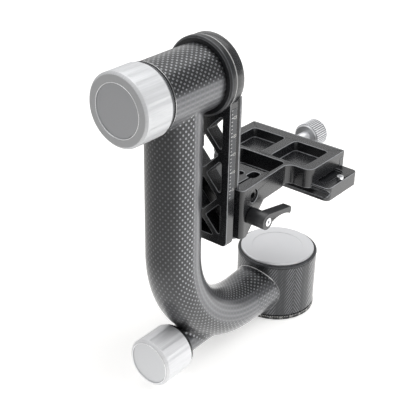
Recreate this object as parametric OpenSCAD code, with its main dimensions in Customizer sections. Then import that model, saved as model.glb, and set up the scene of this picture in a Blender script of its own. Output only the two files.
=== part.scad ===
// Gimbal tripod head. A carbon arm pans on a round base, a swing arm tilts on the
// carbon arm, and a platform slides on the swing arm and clamps a lens plate.
// Z is up and the origin is the centre of the base's underside. X runs along the
// tilt axis, from the lock knobs to the platform. All lengths are in millimetres.

/* [Base] */
// Radius of the base plate
base_r = 30; // [30:0.1:31]
// Thickness of the base plate
plate_t = 3.5; // [3:0.1:3.6]
// How far the carbon base shell is set in from the base plate's edge
shell_inset = 0.2; // [0:0.1:0.4]
// How far the base shell stands above the lower tube
shell_rise = 4.2; // [3.9:0.1:4.7]
// Width of the black trim ring on the base shell, out to the base plate's radius
trim_w = 2.4; // [1.8:0.1:2.7]
// Height of the silver base cap above the base shell
cap_t = 3.4; // [3.1:0.1:3.9]
// Width of the base cap's rim, round its shallow recess
cap_rim = 8.6; // [6:0.2:10]

/* [Carbon arm] */
// Distance from the pan axis to the upright tube's axis
arm_reach = 122; // [121:0.5:123]
// Outer radius of the arm's tube
arm_r = 18; // [17.8:0.1:18.5]
// Wall of the carbon moulding
carbon_wall = 2.6; // [2.4:0.1:3]
// Length of the straight tube between the base shell and the bend
straight_l = 16.9; // [16:0.1:19]
// Height of the lower tube's underside
tube_clear = 5.1; // [4.8:0.1:5.4]
// How much larger the lower tube's radius is where it flares into the base shell
flare_step = 1.3; // [0.5:0.1:1.3]
// Outer radius of the top tube
top_r = 21.3; // [21:0.1:21.6]
// Height of the tilt axis
tilt_z = 211.6; // [205:0.2:215]
// Outer radius of the pan lock's housing
housing_r = 10.3; // [10:0.1:10.8]

/* [Knobs] */
// Radius of the tilt lock knob
tilt_knob_r = 22.6; // [22:0.1:23]
// Length of the tilt lock knob
tilt_knob_l = 21.9; // [20:0.1:24]
// Radius of the pan lock knob
pan_knob_r = 17; // [16.5:0.1:17.5]
// Length of the pan lock knob
pan_knob_l = 24.8; // [23:0.1:26]
// Radius of the lens clamp knob
clamp_knob_r = 10.2; // [9.5:0.1:10.6]
// Length of the lens clamp knob
clamp_knob_l = 14.6; // [13:0.1:15.5]

/* [Swing plate] */
// Radius of the flange ring on the top tube
flange_r = 25.3; // [25:0.1:26]
// Width of the swing plate
swing_w = 40.8; // [40:0.2:42]
// Thickness of the swing plate in front of its rail
swing_t = 7.1; // [6.8:0.1:7.4]
// How far the swing plate reaches below the tilt axis
swing_drop = 115.8; // [114.6:0.2:117.6]
// Distance from the tilt axis down to the rail's upper end
rail_drop = 14.1; // [13.6:0.1:15.6]
// Distance from one crossing of the truss to the next
truss_pitch = 30.5; // [29:0.5:31]
// Width of a truss rib
rib_w = 4; // [3.5:0.1:5]

/* [Platform] */
// Distance from the tilt axis down to the platform's upper face
deck_drop = 78; // [77.6:0.1:78.6]
// Thickness of the platform
deck_t = 14.1; // [13.8:0.1:14.4]
// Depth of the two pockets in the cross
pocket_d = 7.4; // [6:0.1:7.6]
// Depth of the pocket in the arm
arm_pocket_d = 11.5; // [8:0.1:12]

/* [Lens plate] */
// Width of the dovetail lens plate
lens_w = 38; // [37.8:0.1:38.2]
// Length of the lens plate
lens_l = 101; // [95:0.5:110]
// Thickness of the lens plate
lens_t = 10; // [9.5:0.1:10]
// Length of the lens plate that stands out past the cross, as a mean of both ends
plate_overhang = 10.7; // [9.7:0.1:11.5]

/* [Hidden] */
$fn = 72;

// Fits: a running fit, the gap between faces that slide past each other, and how far
// a cut runs past the face that it opens.
slip = 0.05;
gap = 0.3;
past = 1;

// Colours
carbon = "#232426";
silver = "#d6d7d9";
black = "#1d1e20";
steel = "#a9abae";
brass = "#b89a58";
nylon = "#d8d4c4";

// Ball bearings: the races take a share of the ring's depth on each side of the balls.
race_share = 0.35;
ball_share = 0.29;
bearing_w = 7;
ball_count = 12;
lower_bore_r = 12.5;
lower_out_r = 18.5;
small_bore_r = 10;
small_out_r = 16;

// Sizes of the base and the arm that follow from the ones above
shell_r = base_r - shell_inset;
cap_r = base_r - trim_w;
cap_recess_r = cap_r - cap_rim;
lower_z = arm_r + tube_clear;
shell_top = lower_z + arm_r + shell_rise;
cap_top = shell_top + cap_t;
flare_r = arm_r + flare_step;
bend_r = arm_reach - shell_r - straight_l;

// Heights in the base
spindle_flange_r = 20;
spindle_flange_t = 4;
spindle_flange_top = plate_t + spindle_flange_t;
bearing_lift = 0.8;
lower_bearing_z = spindle_flange_top + bearing_lift;
drum_z = lower_bearing_z + bearing_w;
drum_relief = 0.2;
drum_r = lower_bore_r - drum_relief;
upper_bearing_drop = 13.6;
upper_bearing_z = shell_top - upper_bearing_drop;
nut_z = upper_bearing_z + bearing_w;
nut_t = 3.3;
nut_r = 13.2;
thread_r = 9;
bush_r = 7;
bush_head_r = 8;
bush_top = 12;
stud_r = 4.7625;
plate_screw_pcd_r = 15;
plate_screw_r = 2;
plate_screw_head_r = 3.9;
plate_screw_sink = 0.3;
shell_z = plate_t + gap;
shell_extra = 0.2;
shell_bore_r = shell_r - carbon_wall - shell_extra;
carrier_z = spindle_flange_top + gap;
carrier_top = nut_z + bearing_w / 2;
cavity_r = 19.5;
carrier_lip = 1.2;
plug_t = 1.2;
trim_t = 1.7;
trim_in_r = cap_r + slip;
chamfer = 0.6;

// Places along the arm. The lock's housing ends where the rim of its washer just stands
// clear of the bend.
arm_x = -arm_reach;
bend_x = arm_x + bend_r;
bend_z = lower_z + bend_r;
tube_bore_r = arm_r - carbon_wall;
top_bore_r = top_r - carbon_wall;
flare_sink = 9.8;
flare_x = -shell_r + flare_sink;
flare_wall = 1.7;
flare_wall_x = -shell_r - flare_wall;
housing_stand = 1.0676297;
washer_step = 1.6;
washer_r = pan_knob_r - washer_step;
housing_x = bend_x - sqrt((arm_r + washer_r) * (2 * bend_r + arm_r - washer_r)) - housing_stand;
housing_bore_r = housing_r - carbon_wall;
seam = 0.1;

// Pan lock
rod_r = 4;
sleeve_r = 6;
sleeve_flange_t = 2.4;
washer_t = 2.2;
washer_bore_r = 4.6;
pan_knob_x = housing_x - washer_t - gap;
pan_knob_front = pan_knob_x - pan_knob_l;
pan_face_rim = 2.4;
pan_disc_r = pan_knob_r - pan_face_rim;
rod_head_l = 4.5;
shoe_r = 5.5;
shoe_l = 6.6;
shoe_socket = 2.5;
shoe_x = -drum_r - slip;
shoe_back_x = shoe_x - shoe_l;
sleeve_short = 2.25;
sleeve_end_x = shoe_back_x - sleeve_short;

// Tilt bearing housing and shaft
flange_reach = 23.5;
flange_x = arm_x + flange_reach;
flange_ring_t = 5.6;
flange_back_x = flange_x + flange_ring_t;
swing_x = flange_back_x + gap;
bearing_inset = 7.5;
front_bearing_x = flange_x - bearing_inset;
rear_reach = 18;
rear_bearing_x = arm_x - rear_reach;
liner_past = 2.9;
liner_x = rear_bearing_x - liner_past;
liner_bore_r = 14.5;
collar_past = 8;
collar_x = rear_bearing_x - collar_past;
collar_t = 2.4;
collar_r = 21.6;
collar_bore_r = 17.9;
top_tube_x = collar_x + collar_t;
spacer_r = 11.8;
shaft_hub_r = 12;
shaft_flange_r = 19;
shaft_flange_t = 3.6;
shaft_step_x = rear_bearing_x - gap;
screw_end_r = 6;
screw_end_l = 23;
screw_end_x = rear_bearing_x - screw_end_l;
disc_r = 17.6;
disc_t = 2.25;
disc_x = liner_x - disc_t - slip;
boss_r = 15;
tilt_knob_x = collar_x - gap;
tilt_knob_front = tilt_knob_x - tilt_knob_l;
tilt_face_rim = 6.4;
tilt_disc_r = tilt_knob_r - tilt_face_rim;
tilt_washer_in_r = 19.7;
tilt_washer_r = 25;

// Knob faces and flutes
disc_recess = 1.5;
disc_inlay = 1.1;
flute_count = 20;
flute_r = 4.5;
flute_d = 0.3;
knob_edge = 1.5;
pan_flute_count = 12;
pan_flute_r = 7;
clamp_flute_count = 40;
clamp_flute_r = 0.8;
clamp_flute_d = 0.4;
lip_l = 3.4;
pan_lip_l = 2.6;

// Swing plate
swing_h = swing_w / 2;
swing_low = tilt_z - swing_drop;
rail_top = tilt_z - rail_drop;
swing_back_x = swing_x + swing_t;
swing_corner_r = 4;
swing_disc_r = 25;
neck_h = 15.6;
rail_h = 18;
rail_neck_t = 4.3;
rail_x = swing_back_x + rail_neck_t;
rail_slope_t = 2.4;
rail_lip_x = rail_x + rail_slope_t;
rail_lip_t = 1.4;
rail_back_x = rail_lip_x + rail_lip_t;
core_t = 10;
core_h = 11.5;
core_low_rim = 3.7;
core_low = swing_low + core_low_rim;
core_top_rim = 6.5;
core_high = rail_top - core_top_rim;
core_round = 2;
truss_h = 14.6;
truss_inset = 21.5;
truss_top = rail_top - truss_inset;
foot_drop = 13.5;
truss_foot = truss_top - 2 * truss_pitch - foot_drop;
window_round = 1.2;
arc_steps = 5;
hub_screw_pcd_r = 12;
hub_screw_r = 2.5;
cap_screw_head_r = 4.25;
cap_screw_head_t = 3.4;
hex_r = 2.3;
hex_d = 2;
scale_inset = 1.2;
scale_x = swing_x + scale_inset;
scale_w = 5;
scale_rise = 34.7;
scale_low = swing_low + scale_rise;
scale_drop = 4.5;
scale_high = rail_top - scale_drop;
scale_t = 0.2;

// Platform
deck_z = tilt_z - deck_drop;
deck_low = deck_z - deck_t;
cross_h = lens_l / 2 - plate_overhang;
clamp_inset = 0.6;
clamp_x = rail_x + clamp_inset;
arm_l = 54.6;
cross_x = clamp_x + arm_l;
cross_rim = 6.2;
cross_w = lens_w + cross_rim;
cross_far_x = cross_x + cross_w;
arm_h = 21.3;
clamp_h = 23.6;
clamp_round = 3;
arm_t = 16.1;
arm_low = deck_z - arm_t;
clamp_t = 36.1;
clamp_low = deck_z - clamp_t;
heel_l = 5.9;
heel_x = clamp_x + heel_l;
knee_l = 25.9;
knee_x = clamp_x + knee_l;
deck_round = 6;
deck_corner_round = 1.5;
outline_steps = 8;
deck_rim = 3.1;
deck_pocket_x = cross_x + deck_rim;
deck_far_rim = 9.8;
deck_pocket_far_x = cross_far_x - deck_far_rim;
deck_rib_h = 4.3;
deck_end_rim = 7.6;
deck_pocket_h = cross_h - deck_end_rim;
pocket_round = 3;
arm_rib = 0.2;
arm_pocket_far_x = cross_x - arm_rib;
arm_pocket_l = 21.3;
arm_pocket_x = arm_pocket_far_x - arm_pocket_l;
arm_pocket_h = 19.2;
slit_y = -14.2;
slit_w = 1.7;
slit_l = 20.1;
relief_x = clamp_x + slit_l;
relief_l = 9.5;
relief_far_x = relief_x + relief_l;
relief_y = -17.2;
relief_far_y = -10.2;
relief_round = 2.6;
dimple_reach = 21.6;
dimple_x = clamp_x + dimple_reach;
dimple_y = -4.6;
dimple_r = 3;
dimple_d = 9;

// Clamp bolt, lever and side screw
lever_reach = 10.3;
lever_x = clamp_x + lever_reach;
lever_drop = 21.3;
lever_z = deck_z - lever_drop;
bolt_r = 3;
bolt_end_y = 12;
lever_r = 5.7;
lever_out = 13.8;
lever_face_y = -clamp_h - lever_out;
lever_gap = 0.4;
lever_back_y = clamp_y(lever_x) - lever_gap;
lever_arm_t = 6.4;
lever_l = 27.3;
lever_tip_x = lever_x + lever_l;
lever_rise = 1;
lever_tip_high = lever_z + lever_rise;
lever_tip_t = 4.9;
lever_tip_low = lever_tip_high - lever_tip_t;
lever_scoop_r = 26;
lever_scoop_reach = 13.3;
lever_scoop_x = lever_x + lever_scoop_reach;
lever_scoop_drop = 0.9;
lever_scoop_top = lever_z - lever_scoop_drop;
lever_screw_r = 2.9;
lever_screw_t = 3;
lever_screw_proud = 0.4;
side_reach = 13.5;
side_x = clamp_x + side_reach;
side_drop = 8.2;
side_z = deck_z - side_drop;
side_head_r = 4.25;
side_bore_r = 4.7;
side_bore_d = 4.6;
side_screw_r = 2.5;
side_screw_end_y = 1;

// Lens plate and its clamp
lens_y = -2.5;
lens_h = lens_w / 2;
jaw_cover = 2.7;
lens_x = cross_far_x - jaw_cover - lens_h;
lens_drop = 10.9;
lens_top = deck_z - lens_drop;
lens_low = lens_top - lens_t;
lens_flange_t = 1.4;
groove_d = 2.8;
groove_waist = 0.6;
lens_corner_r = 4;
lens_recess_h = 12;
lens_recess_d = 1.6;
lens_recess_end = 6.4;
slot_h = 3.3;
slot_end = 15;
jaw_t = 5.6;
jaw_x = cross_far_x - jaw_t;
jaw_lip_t = 1.1;
jaw_lip_x = cross_far_x - jaw_lip_t;
jaw_drop = 4.1;
jaw_top = deck_z - jaw_drop;
jaw_slope = 1.1;
jaw_gap = 0.1;
jaw_line = 0.35;
jaw_boss_h = 6;
jaw_boss_t = 2.3;
jaw_screw_drop = 5.6;
jaw_screw_z = deck_z - jaw_screw_drop;
jaw_screw_r = 2.5;
jaw_screw_l = 30.2;
jaw_screw_end_x = cross_far_x - jaw_screw_l;
clamp_neck_r = 4.8;
clamp_neck_l = 10;
pin_inset = 3.8;
pin_y = cross_h - pin_inset;
pin_drop = 7.4;
pin_z = deck_z - pin_drop;
pin_r = 1.5;
pin_l = 16;
pin_sink = 2.2;
pin_end_x = cross_far_x - pin_sink;
pin_x = pin_end_x - pin_l;
stop_screw_r = 2.4;
stop_screw_h = 2;
stop_thread_r = 1.5;
stop_inset = 2.9;
camera_r = 3.175;
camera_head_r = 6;
camera_head_t = 2.4;
camera_reach = 5;
camera_thread_l = 4.6;
camera_neck_r = 2.6;
camera_y = 20;

// The bracket's clamp end is wider than the arm's root.
function clamp_y(x) = -(clamp_h + (arm_h - clamp_h) * (x - clamp_x) / (cross_x - clamp_x));

// One corner of an outline, turned into an arc.
function unit(v) = v / norm(v);
function arc_at(a, b, c, r, n) =
    let (u = unit(a - b), v = unit(c - b), half = acos(u * v) / 2,
         centre = b + unit(u + v) * r / sin(half),
         s = b + u * r / tan(half) - centre,
         e = b + v * r / tan(half) - centre,
         start = atan2(s[1], s[0]), side = sign(cross(s, e)), turn = 180 - 2 * half)
    [for (i = [0:n]) let (k = start + side * turn * i / n) centre + r * [cos(k), sin(k)]];

// An outline with each corner rounded by its own radius; 0 keeps it sharp.
function rounded(p, r, n) =
    [for (i = [0:len(p) - 1]) let (a = p[(i + len(p) - 1) % len(p)], c = p[(i + 1) % len(p)])
        each (r[i] == 0 ? [p[i]] : arc_at(a, p[i], c, r[i], n))];
function same(r, p) = [for (q = p) r];

// Round bars along each axis, and a box between two corners.
module rod_x(r, x0, x1, y = 0, z = 0)
    translate([x0, y, z]) rotate([0, 90, 0]) cylinder(h = x1 - x0, r = r);
module rod_y(r, y0, y1, x = 0, z = 0)
    translate([x, y0, z]) rotate([-90, 0, 0]) cylinder(h = y1 - y0, r = r);
module rod_z(r, z0, z1, x = 0, y = 0)
    translate([x, y, z0]) cylinder(h = z1 - z0, r = r);
module box(low, high)
    translate(low) cube(high - low);

// A ring with a square section that stands on Z 0.
module ring(r_in, r_out, h)
    rotate_extrude() translate([r_in, 0]) square([r_out - r_in, h]);
module ring_z(r_in, r_out, z0, z1)
    translate([0, 0, z0]) ring(r_in, r_out, z1 - z0);
module ring_x(r_in, r_out, x0, x1, z = 0)
    translate([x0, 0, z]) rotate([0, 90, 0]) ring(r_in, r_out, x1 - x0);

// A round body whose front edge has a chamfer; it stands on Z 0.
module chamfered(r, h, c_low, c_high)
    rotate_extrude() polygon([[0, 0], [r - c_low, 0], [r, c_low], [r, h - c_high], [r - c_high, h], [0, h]]);

// A pocket with upright rounded corners.
module pocket(low, high, r) {
    box([low[0] + r, low[1], low[2]], [high[0] - r, high[1], high[2]]);
    box([low[0], low[1] + r, low[2]], [high[0], high[1] - r, high[2]]);
    for (x = [low[0] + r, high[0] - r])
        for (y = [low[1] + r, high[1] - r])
            rod_z(r, low[2], high[2], x, y);
}

// Ball bearing pieces on the Z axis, standing on Z 0.
function pitch_r(bore, out) = (bore + out) / 2;
function ball_r(bore, out) = (out - bore) * ball_share;
module race_groove(bore, out)
    translate([0, 0, bearing_w / 2]) rotate_extrude() translate([pitch_r(bore, out), 0])
        circle(r = ball_r(bore, out) + slip, $fn = 32);
module inner_race(bore, out)
    difference() {
        ring(bore, bore + (out - bore) * race_share, bearing_w);
        race_groove(bore, out);
    }
module outer_race(bore, out)
    difference() {
        ring(out - (out - bore) * race_share, out, bearing_w);
        race_groove(bore, out);
    }
module balls(bore, out)
    for (i = [0:ball_count - 1])
        rotate([0, 0, i * 360 / ball_count]) translate([pitch_r(bore, out), 0, bearing_w / 2])
            sphere(r = ball_r(bore, out), $fn = 24);
module on_tilt(x)
    translate([x, 0, tilt_z]) rotate([0, 90, 0]) children();

// A knob on the X axis with its face towards -X: a chamfered drum with a shallow
// recess in its face and broad flutes behind a plain lip.
module fluted(r, l, n, fr, fd, lip, rear = past)
    difference() {
        chamfered(r, l, knob_edge, chamfer);
        for (i = [0:n - 1])
            rotate([0, 0, i * 360 / n]) translate([r + fr - fd, 0, lip]) cylinder(h = l - lip + rear, r = fr);
    }
module face_recess(r)
    translate([0, 0, -past]) cylinder(h = disc_recess + past, r = r);

// Base, fixed to the tripod.
module base_plate()
    color(black) difference() {
        chamfered(base_r, plate_t, chamfer, chamfer / 2);
        rod_z(bush_head_r, -past, plate_t + past);
        at_plate_screws() screw_hole();
    }

module at_plate_screws()
    for (i = [0:3])
        rotate([0, 0, 45 + i * 90]) translate([plate_screw_pcd_r, 0, 0]) children();

// A countersunk hole and the screw that fills it, seen from below.
module screw_hole() {
    rod_z(plate_screw_head_r, -past, plate_screw_sink);
    countersunk();
}
module countersunk() {
    head_h = plate_screw_head_r - plate_screw_r;
    translate([0, 0, plate_screw_sink]) cylinder(h = head_h, r1 = plate_screw_head_r, r2 = plate_screw_r);
    rod_z(plate_screw_r, plate_screw_sink, spindle_flange_top - past);
}

module plate_screws()
    color(steel) at_plate_screws() difference() {
        countersunk();
        translate([0, 0, plate_screw_sink - past]) cylinder(h = past + hex_d / 2, r = hex_r / 2, $fn = 6);
    }

module tripod_bush()
    color(steel) difference() {
        union() {
            rod_z(bush_head_r, 0, plate_t);
            rod_z(bush_r, 0, bush_top);
        }
        rod_z(stud_r, -past, bush_top + past);
    }

module pan_spindle()
    color(steel) difference() {
        union() {
            rod_z(spindle_flange_r, plate_t, spindle_flange_top);
            rod_z(lower_bore_r + 1, spindle_flange_top, lower_bearing_z);
            rod_z(lower_bore_r, lower_bearing_z, drum_z);
            rod_z(drum_r, drum_z, upper_bearing_z);
            rod_z(small_bore_r, upper_bearing_z, nut_z);
            rod_z(thread_r, nut_z, nut_z + nut_t);
        }
        rod_z(bush_r, plate_t - past, bush_top + gap);
        at_plate_screws() countersunk();
    }

module spindle_nut()
    color(steel) difference() {
        ring_z(thread_r, nut_r, nut_z, nut_z + nut_t);
        for (i = [0:3])
            rotate([0, 0, i * 90]) box([nut_r - hex_d, -hex_r / 2, nut_z + nut_t / 2],
                                       [nut_r + past, hex_r / 2, nut_z + nut_t + past]);
    }

module lower_inner_ring()
    color(steel) translate([0, 0, lower_bearing_z]) inner_race(lower_bore_r, lower_out_r);
module lower_outer_ring()
    color(steel) translate([0, 0, lower_bearing_z]) outer_race(lower_bore_r, lower_out_r);
module lower_balls()
    color(steel) translate([0, 0, lower_bearing_z]) balls(lower_bore_r, lower_out_r);
module upper_inner_ring()
    color(steel) translate([0, 0, upper_bearing_z]) inner_race(small_bore_r, small_out_r);
module upper_outer_ring()
    color(steel) translate([0, 0, upper_bearing_z]) outer_race(small_bore_r, small_out_r);
module upper_balls()
    color(steel) translate([0, 0, upper_bearing_z]) balls(small_bore_r, small_out_r);

// The carbon arm is one hollow moulding, kept as its tubes: base shell, flared lower
// tube, bend, housing of the pan lock, upright tube and top tube.
module bend(r)
    translate([bend_x, 0, bend_z]) rotate([90, 0, 0]) rotate([0, 0, 180])
        rotate_extrude(angle = 90) translate([bend_r, 0]) circle(r = r);

module base_shell()
    color(carbon) difference() {
        rod_z(shell_r, shell_z, shell_top);
        rod_z(shell_bore_r, shell_z - past, shell_top + past);
        rod_x(sleeve_r, -shell_r - past, 0, 0, lower_z);
    }

module lower_tube()
    color(carbon) difference() {
        translate([bend_x, 0, lower_z]) rotate([0, 90, 0])
            cylinder(h = flare_x - bend_x, r1 = arm_r, r2 = flare_r);
        rod_z(shell_r, shell_z - past, shell_top + past);
        rod_x(tube_bore_r, bend_x - past, flare_wall_x, 0, lower_z);
        rod_x(sleeve_r, flare_wall_x - past, 0, 0, lower_z);
    }

module arm_bend()
    color(carbon) difference() {
        bend(arm_r);
        bend(tube_bore_r);
        rod_x(sleeve_r, housing_x, bend_x, 0, lower_z);
    }

module lock_housing()
    color(carbon) difference() {
        rod_x(housing_r, housing_x, bend_x, 0, lower_z);
        bend(arm_r + seam);
        rod_x(housing_bore_r, housing_x - past, bend_x, 0, lower_z);
    }

module upright_tube()
    color(carbon) difference() {
        rod_z(arm_r, bend_z, tilt_z, arm_x);
        rod_z(tube_bore_r, bend_z - past, tilt_z, arm_x);
        rod_x(top_r, top_tube_x, flange_x, 0, tilt_z);
    }

module top_tube()
    color(carbon) ring_x(top_bore_r, top_r, top_tube_x, flange_x, tilt_z);

module bearing_carrier()
    color(silver) difference() {
        rod_z(shell_bore_r, carrier_z, carrier_top);
        rod_z(lower_out_r, carrier_z - past, drum_z);
        rod_z(lower_out_r - carrier_lip, drum_z - past, drum_z + carrier_lip);
        rod_z(cavity_r, drum_z + carrier_lip, upper_bearing_z - carrier_lip);
        rod_z(small_out_r - carrier_lip, drum_z, upper_bearing_z + past);
        rod_z(small_out_r, upper_bearing_z, carrier_top + past);
        rod_x(sleeve_r, -shell_r, 0, 0, lower_z);
    }

module trim_ring()
    color(black) translate([0, 0, shell_top])
        rotate_extrude() polygon([[trim_in_r, 0], [base_r, 0], [base_r, trim_t - chamfer],
                                  [base_r - chamfer, trim_t], [trim_in_r, trim_t]]);

module base_cap()
    color(silver) difference() {
        union() {
            rod_z(shell_bore_r - slip, shell_top - plug_t, shell_top);
            translate([0, 0, shell_top]) chamfered(cap_r, cap_top - shell_top, 0, chamfer);
        }
        rod_z(cap_recess_r, cap_top - chamfer / 2, cap_top + past);
    }

// Pan lock: the knob turns the rod in the sleeve, and the rod presses the shoe on the drum.
module guide_sleeve()
    color(steel) difference() {
        union() {
            rod_x(housing_bore_r, housing_x, housing_x + sleeve_flange_t, 0, lower_z);
            rod_x(sleeve_r, housing_x, sleeve_end_x, 0, lower_z);
        }
        rod_x(rod_r + slip, housing_x - past, sleeve_end_x + past, 0, lower_z);
    }

module lock_washer()
    color(black) ring_x(washer_bore_r, washer_r, housing_x - washer_t, housing_x, lower_z);

module brake_shoe()
    color(brass) difference() {
        rod_x(shoe_r, shoe_back_x, 0, 0, lower_z);
        rod_z(drum_r + slip, lower_z - 2 * shoe_r, lower_z + 2 * shoe_r);
        rod_x(rod_r + slip, shoe_back_x - past, shoe_back_x + shoe_socket, 0, lower_z);
    }

module pan_lock_rod()
    color(steel) rod_x(rod_r, pan_knob_front + rod_head_l + gap, shoe_back_x + shoe_socket - slip, 0, lower_z);

module pan_lock_knob()
    color(silver) translate([pan_knob_front, 0, lower_z]) rotate([0, 90, 0]) difference() {
        fluted(pan_knob_r, pan_knob_l, pan_flute_count, pan_flute_r, flute_d, pan_lip_l);
        face_recess(pan_disc_r);
        translate([0, 0, rod_head_l]) cylinder(h = pan_knob_l, r = rod_r + slip);
    }

module pan_knob_disc()
    color(silver) rod_x(pan_disc_r, pan_knob_front + disc_recess - disc_inlay,
                        pan_knob_front + disc_recess, 0, lower_z);

// Tilt bearing in the top tube.
module top_liner()
    color(silver) difference() {
        rod_x(top_bore_r, liner_x, flange_x, 0, tilt_z);
        rod_x(small_out_r, liner_x - past, rear_bearing_x + bearing_w, 0, tilt_z);
        rod_x(liner_bore_r, liner_x, flange_x, 0, tilt_z);
        rod_x(small_out_r, front_bearing_x, flange_x + past, 0, tilt_z);
    }

module end_collar()
    color(black) translate([collar_x, 0, tilt_z]) rotate([0, 90, 0])
        rotate_extrude() polygon([[collar_bore_r, 0], [collar_r - chamfer, 0], [collar_r, chamfer],
                                  [collar_r, collar_t - chamfer], [collar_r - chamfer, collar_t],
                                  [collar_bore_r, collar_t]]);

module flange_ring()
    color(black) difference() {
        on_tilt(flange_x) chamfered(flange_r, flange_back_x - flange_x, chamfer * 2, chamfer);
        rod_x(liner_bore_r, flange_x - past, flange_back_x + past, 0, tilt_z);
        rod_x(shaft_flange_r + gap, swing_x - shaft_flange_t - gap, flange_back_x + past, 0, tilt_z);
    }

module tilt_washer()
    color(nylon) ring_x(tilt_washer_in_r, tilt_washer_r, flange_back_x, swing_x - slip, tilt_z);

module rear_outer_ring()
    color(steel) on_tilt(rear_bearing_x) outer_race(small_bore_r, small_out_r);
module front_outer_ring()
    color(steel) on_tilt(front_bearing_x) outer_race(small_bore_r, small_out_r);
module rear_inner_ring()
    color(steel) on_tilt(rear_bearing_x) inner_race(small_bore_r, small_out_r);
module front_inner_ring()
    color(steel) on_tilt(front_bearing_x) inner_race(small_bore_r, small_out_r);
module rear_balls()
    color(steel) on_tilt(rear_bearing_x) balls(small_bore_r, small_out_r);
module front_balls()
    color(steel) on_tilt(front_bearing_x) balls(small_bore_r, small_out_r);

module at_hub_screws()
    for (i = [0:3])
        translate([0, 0, tilt_z]) rotate([45 + i * 90, 0, 0]) translate([0, hub_screw_pcd_r, 0]) children();

// Hub screws come in from the back of the swing plate.
module hub_screw_shank()
    rod_x(hub_screw_r, swing_x - shaft_flange_t, swing_back_x - cap_screw_head_t);

module tilt_shaft()
    color(steel) difference() {
        union() {
            rod_x(shaft_flange_r, swing_x - shaft_flange_t, swing_x, 0, tilt_z);
            rod_x(shaft_hub_r, front_bearing_x + bearing_w, swing_x - shaft_flange_t, 0, tilt_z);
            rod_x(small_bore_r, shaft_step_x, front_bearing_x + bearing_w, 0, tilt_z);
            rod_x(screw_end_r, screw_end_x, shaft_step_x, 0, tilt_z);
        }
        at_hub_screws() hub_screw_shank();
    }

module tilt_spacer()
    color(steel) ring_x(small_bore_r, spacer_r, rear_bearing_x + bearing_w, front_bearing_x, tilt_z);

module pressure_disc()
    color(steel) ring_x(screw_end_r + slip, disc_r, disc_x, disc_x + disc_t, tilt_z);

module tilt_lock_knob()
    color(silver) on_tilt(tilt_knob_front) difference() {
        union() {
            fluted(tilt_knob_r, tilt_knob_l, flute_count, flute_r, flute_d, lip_l);
            cylinder(h = disc_x - tilt_knob_front - slip, r = boss_r);
        }
        face_recess(tilt_disc_r);
        translate([0, 0, screw_end_x - tilt_knob_front - gap]) cylinder(h = 2 * tilt_knob_l, r = screw_end_r + slip);
    }

module tilt_knob_disc()
    color(silver) rod_x(tilt_disc_r, tilt_knob_front + disc_recess - disc_inlay,
                        tilt_knob_front + disc_recess, 0, tilt_z);

// Windows of the truss: a diamond between two crossings, and a triangle beside each
// crossing. The ribs run from crossing to crossing at the same slope.
rib_slope = truss_pitch / 2 / truss_h;
rib_rise = rib_w / 2 * sqrt(1 + rib_slope * rib_slope);
window_rise = truss_pitch / 2 - rib_rise;
module window(points)
    translate([swing_x - past, 0, 0]) rotate([90, 0, 90])
        linear_extrude(rail_back_x - swing_x + 2 * past)
            polygon(rounded(points, same(window_round, points), arc_steps));
module truss_windows()
    for (z = [truss_top, truss_top - truss_pitch, truss_top - 2 * truss_pitch]) {
        for (s = [-1, 1])
            window([[s * rib_rise / rib_slope, z], [s * truss_h, z + window_rise], [s * truss_h, z - window_rise]]);
        if (z > truss_top - 2 * truss_pitch)
            window([[0, z - rib_rise], [window_rise / rib_slope, z - truss_pitch / 2],
                    [0, z - truss_pitch + rib_rise], [-window_rise / rib_slope, z - truss_pitch / 2]]);
        else
            window([[0, z - rib_rise], [(z - rib_rise - truss_foot) / rib_slope, truss_foot],
                    [-(z - rib_rise - truss_foot) / rib_slope, truss_foot]]);
    }

module rail_section(c)
    polygon([[swing_back_x - past, -neck_h - c], [rail_x, -neck_h - c], [rail_lip_x, -rail_h - c],
             [rail_back_x + c, -rail_h - c], [rail_back_x + c, rail_h + c], [rail_lip_x, rail_h + c],
             [rail_x, neck_h + c], [swing_back_x - past, neck_h + c]]);

module swing_plate() {
    outline = [[-swing_h, tilt_z], [-swing_h, swing_low], [swing_h, swing_low], [swing_h, tilt_z]];
    corner_r = [0, swing_corner_r, swing_corner_r, 0];
    core_outline = [[-core_h, core_low], [core_h, core_low], [core_h, core_high], [-core_h, core_high]];
    color(black) difference() {
        union() {
            rod_x(swing_disc_r, swing_x, swing_back_x, 0, tilt_z);
            translate([swing_x, 0, 0]) rotate([90, 0, 90])
                linear_extrude(swing_t) polygon(rounded(outline, corner_r, outline_steps));
            translate([0, 0, swing_low]) linear_extrude(rail_top - swing_low) rail_section(0);
        }
        truss_windows();
        translate([swing_x + core_t, 0, 0]) rotate([90, 0, 90]) linear_extrude(rail_back_x - swing_x)
            polygon(rounded(core_outline, same(core_round, core_outline), arc_steps));
        at_hub_screws() {
            hub_screw_shank();
            rod_x(cap_screw_head_r, swing_back_x - cap_screw_head_t, swing_back_x + past);
        }
    }
}

module hub_screws()
    color(steel) at_hub_screws() difference() {
        union() {
            hub_screw_shank();
            rod_x(cap_screw_head_r, swing_back_x - cap_screw_head_t, swing_back_x);
        }
        translate([swing_back_x - hex_d, 0, 0]) rotate([0, 90, 0]) cylinder(h = hex_d + past, r = hex_r, $fn = 6);
    }

module height_scale()
    color(silver) box([scale_x, -swing_h - scale_t, scale_low], [scale_x + scale_w, -swing_h, scale_high]);

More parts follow.
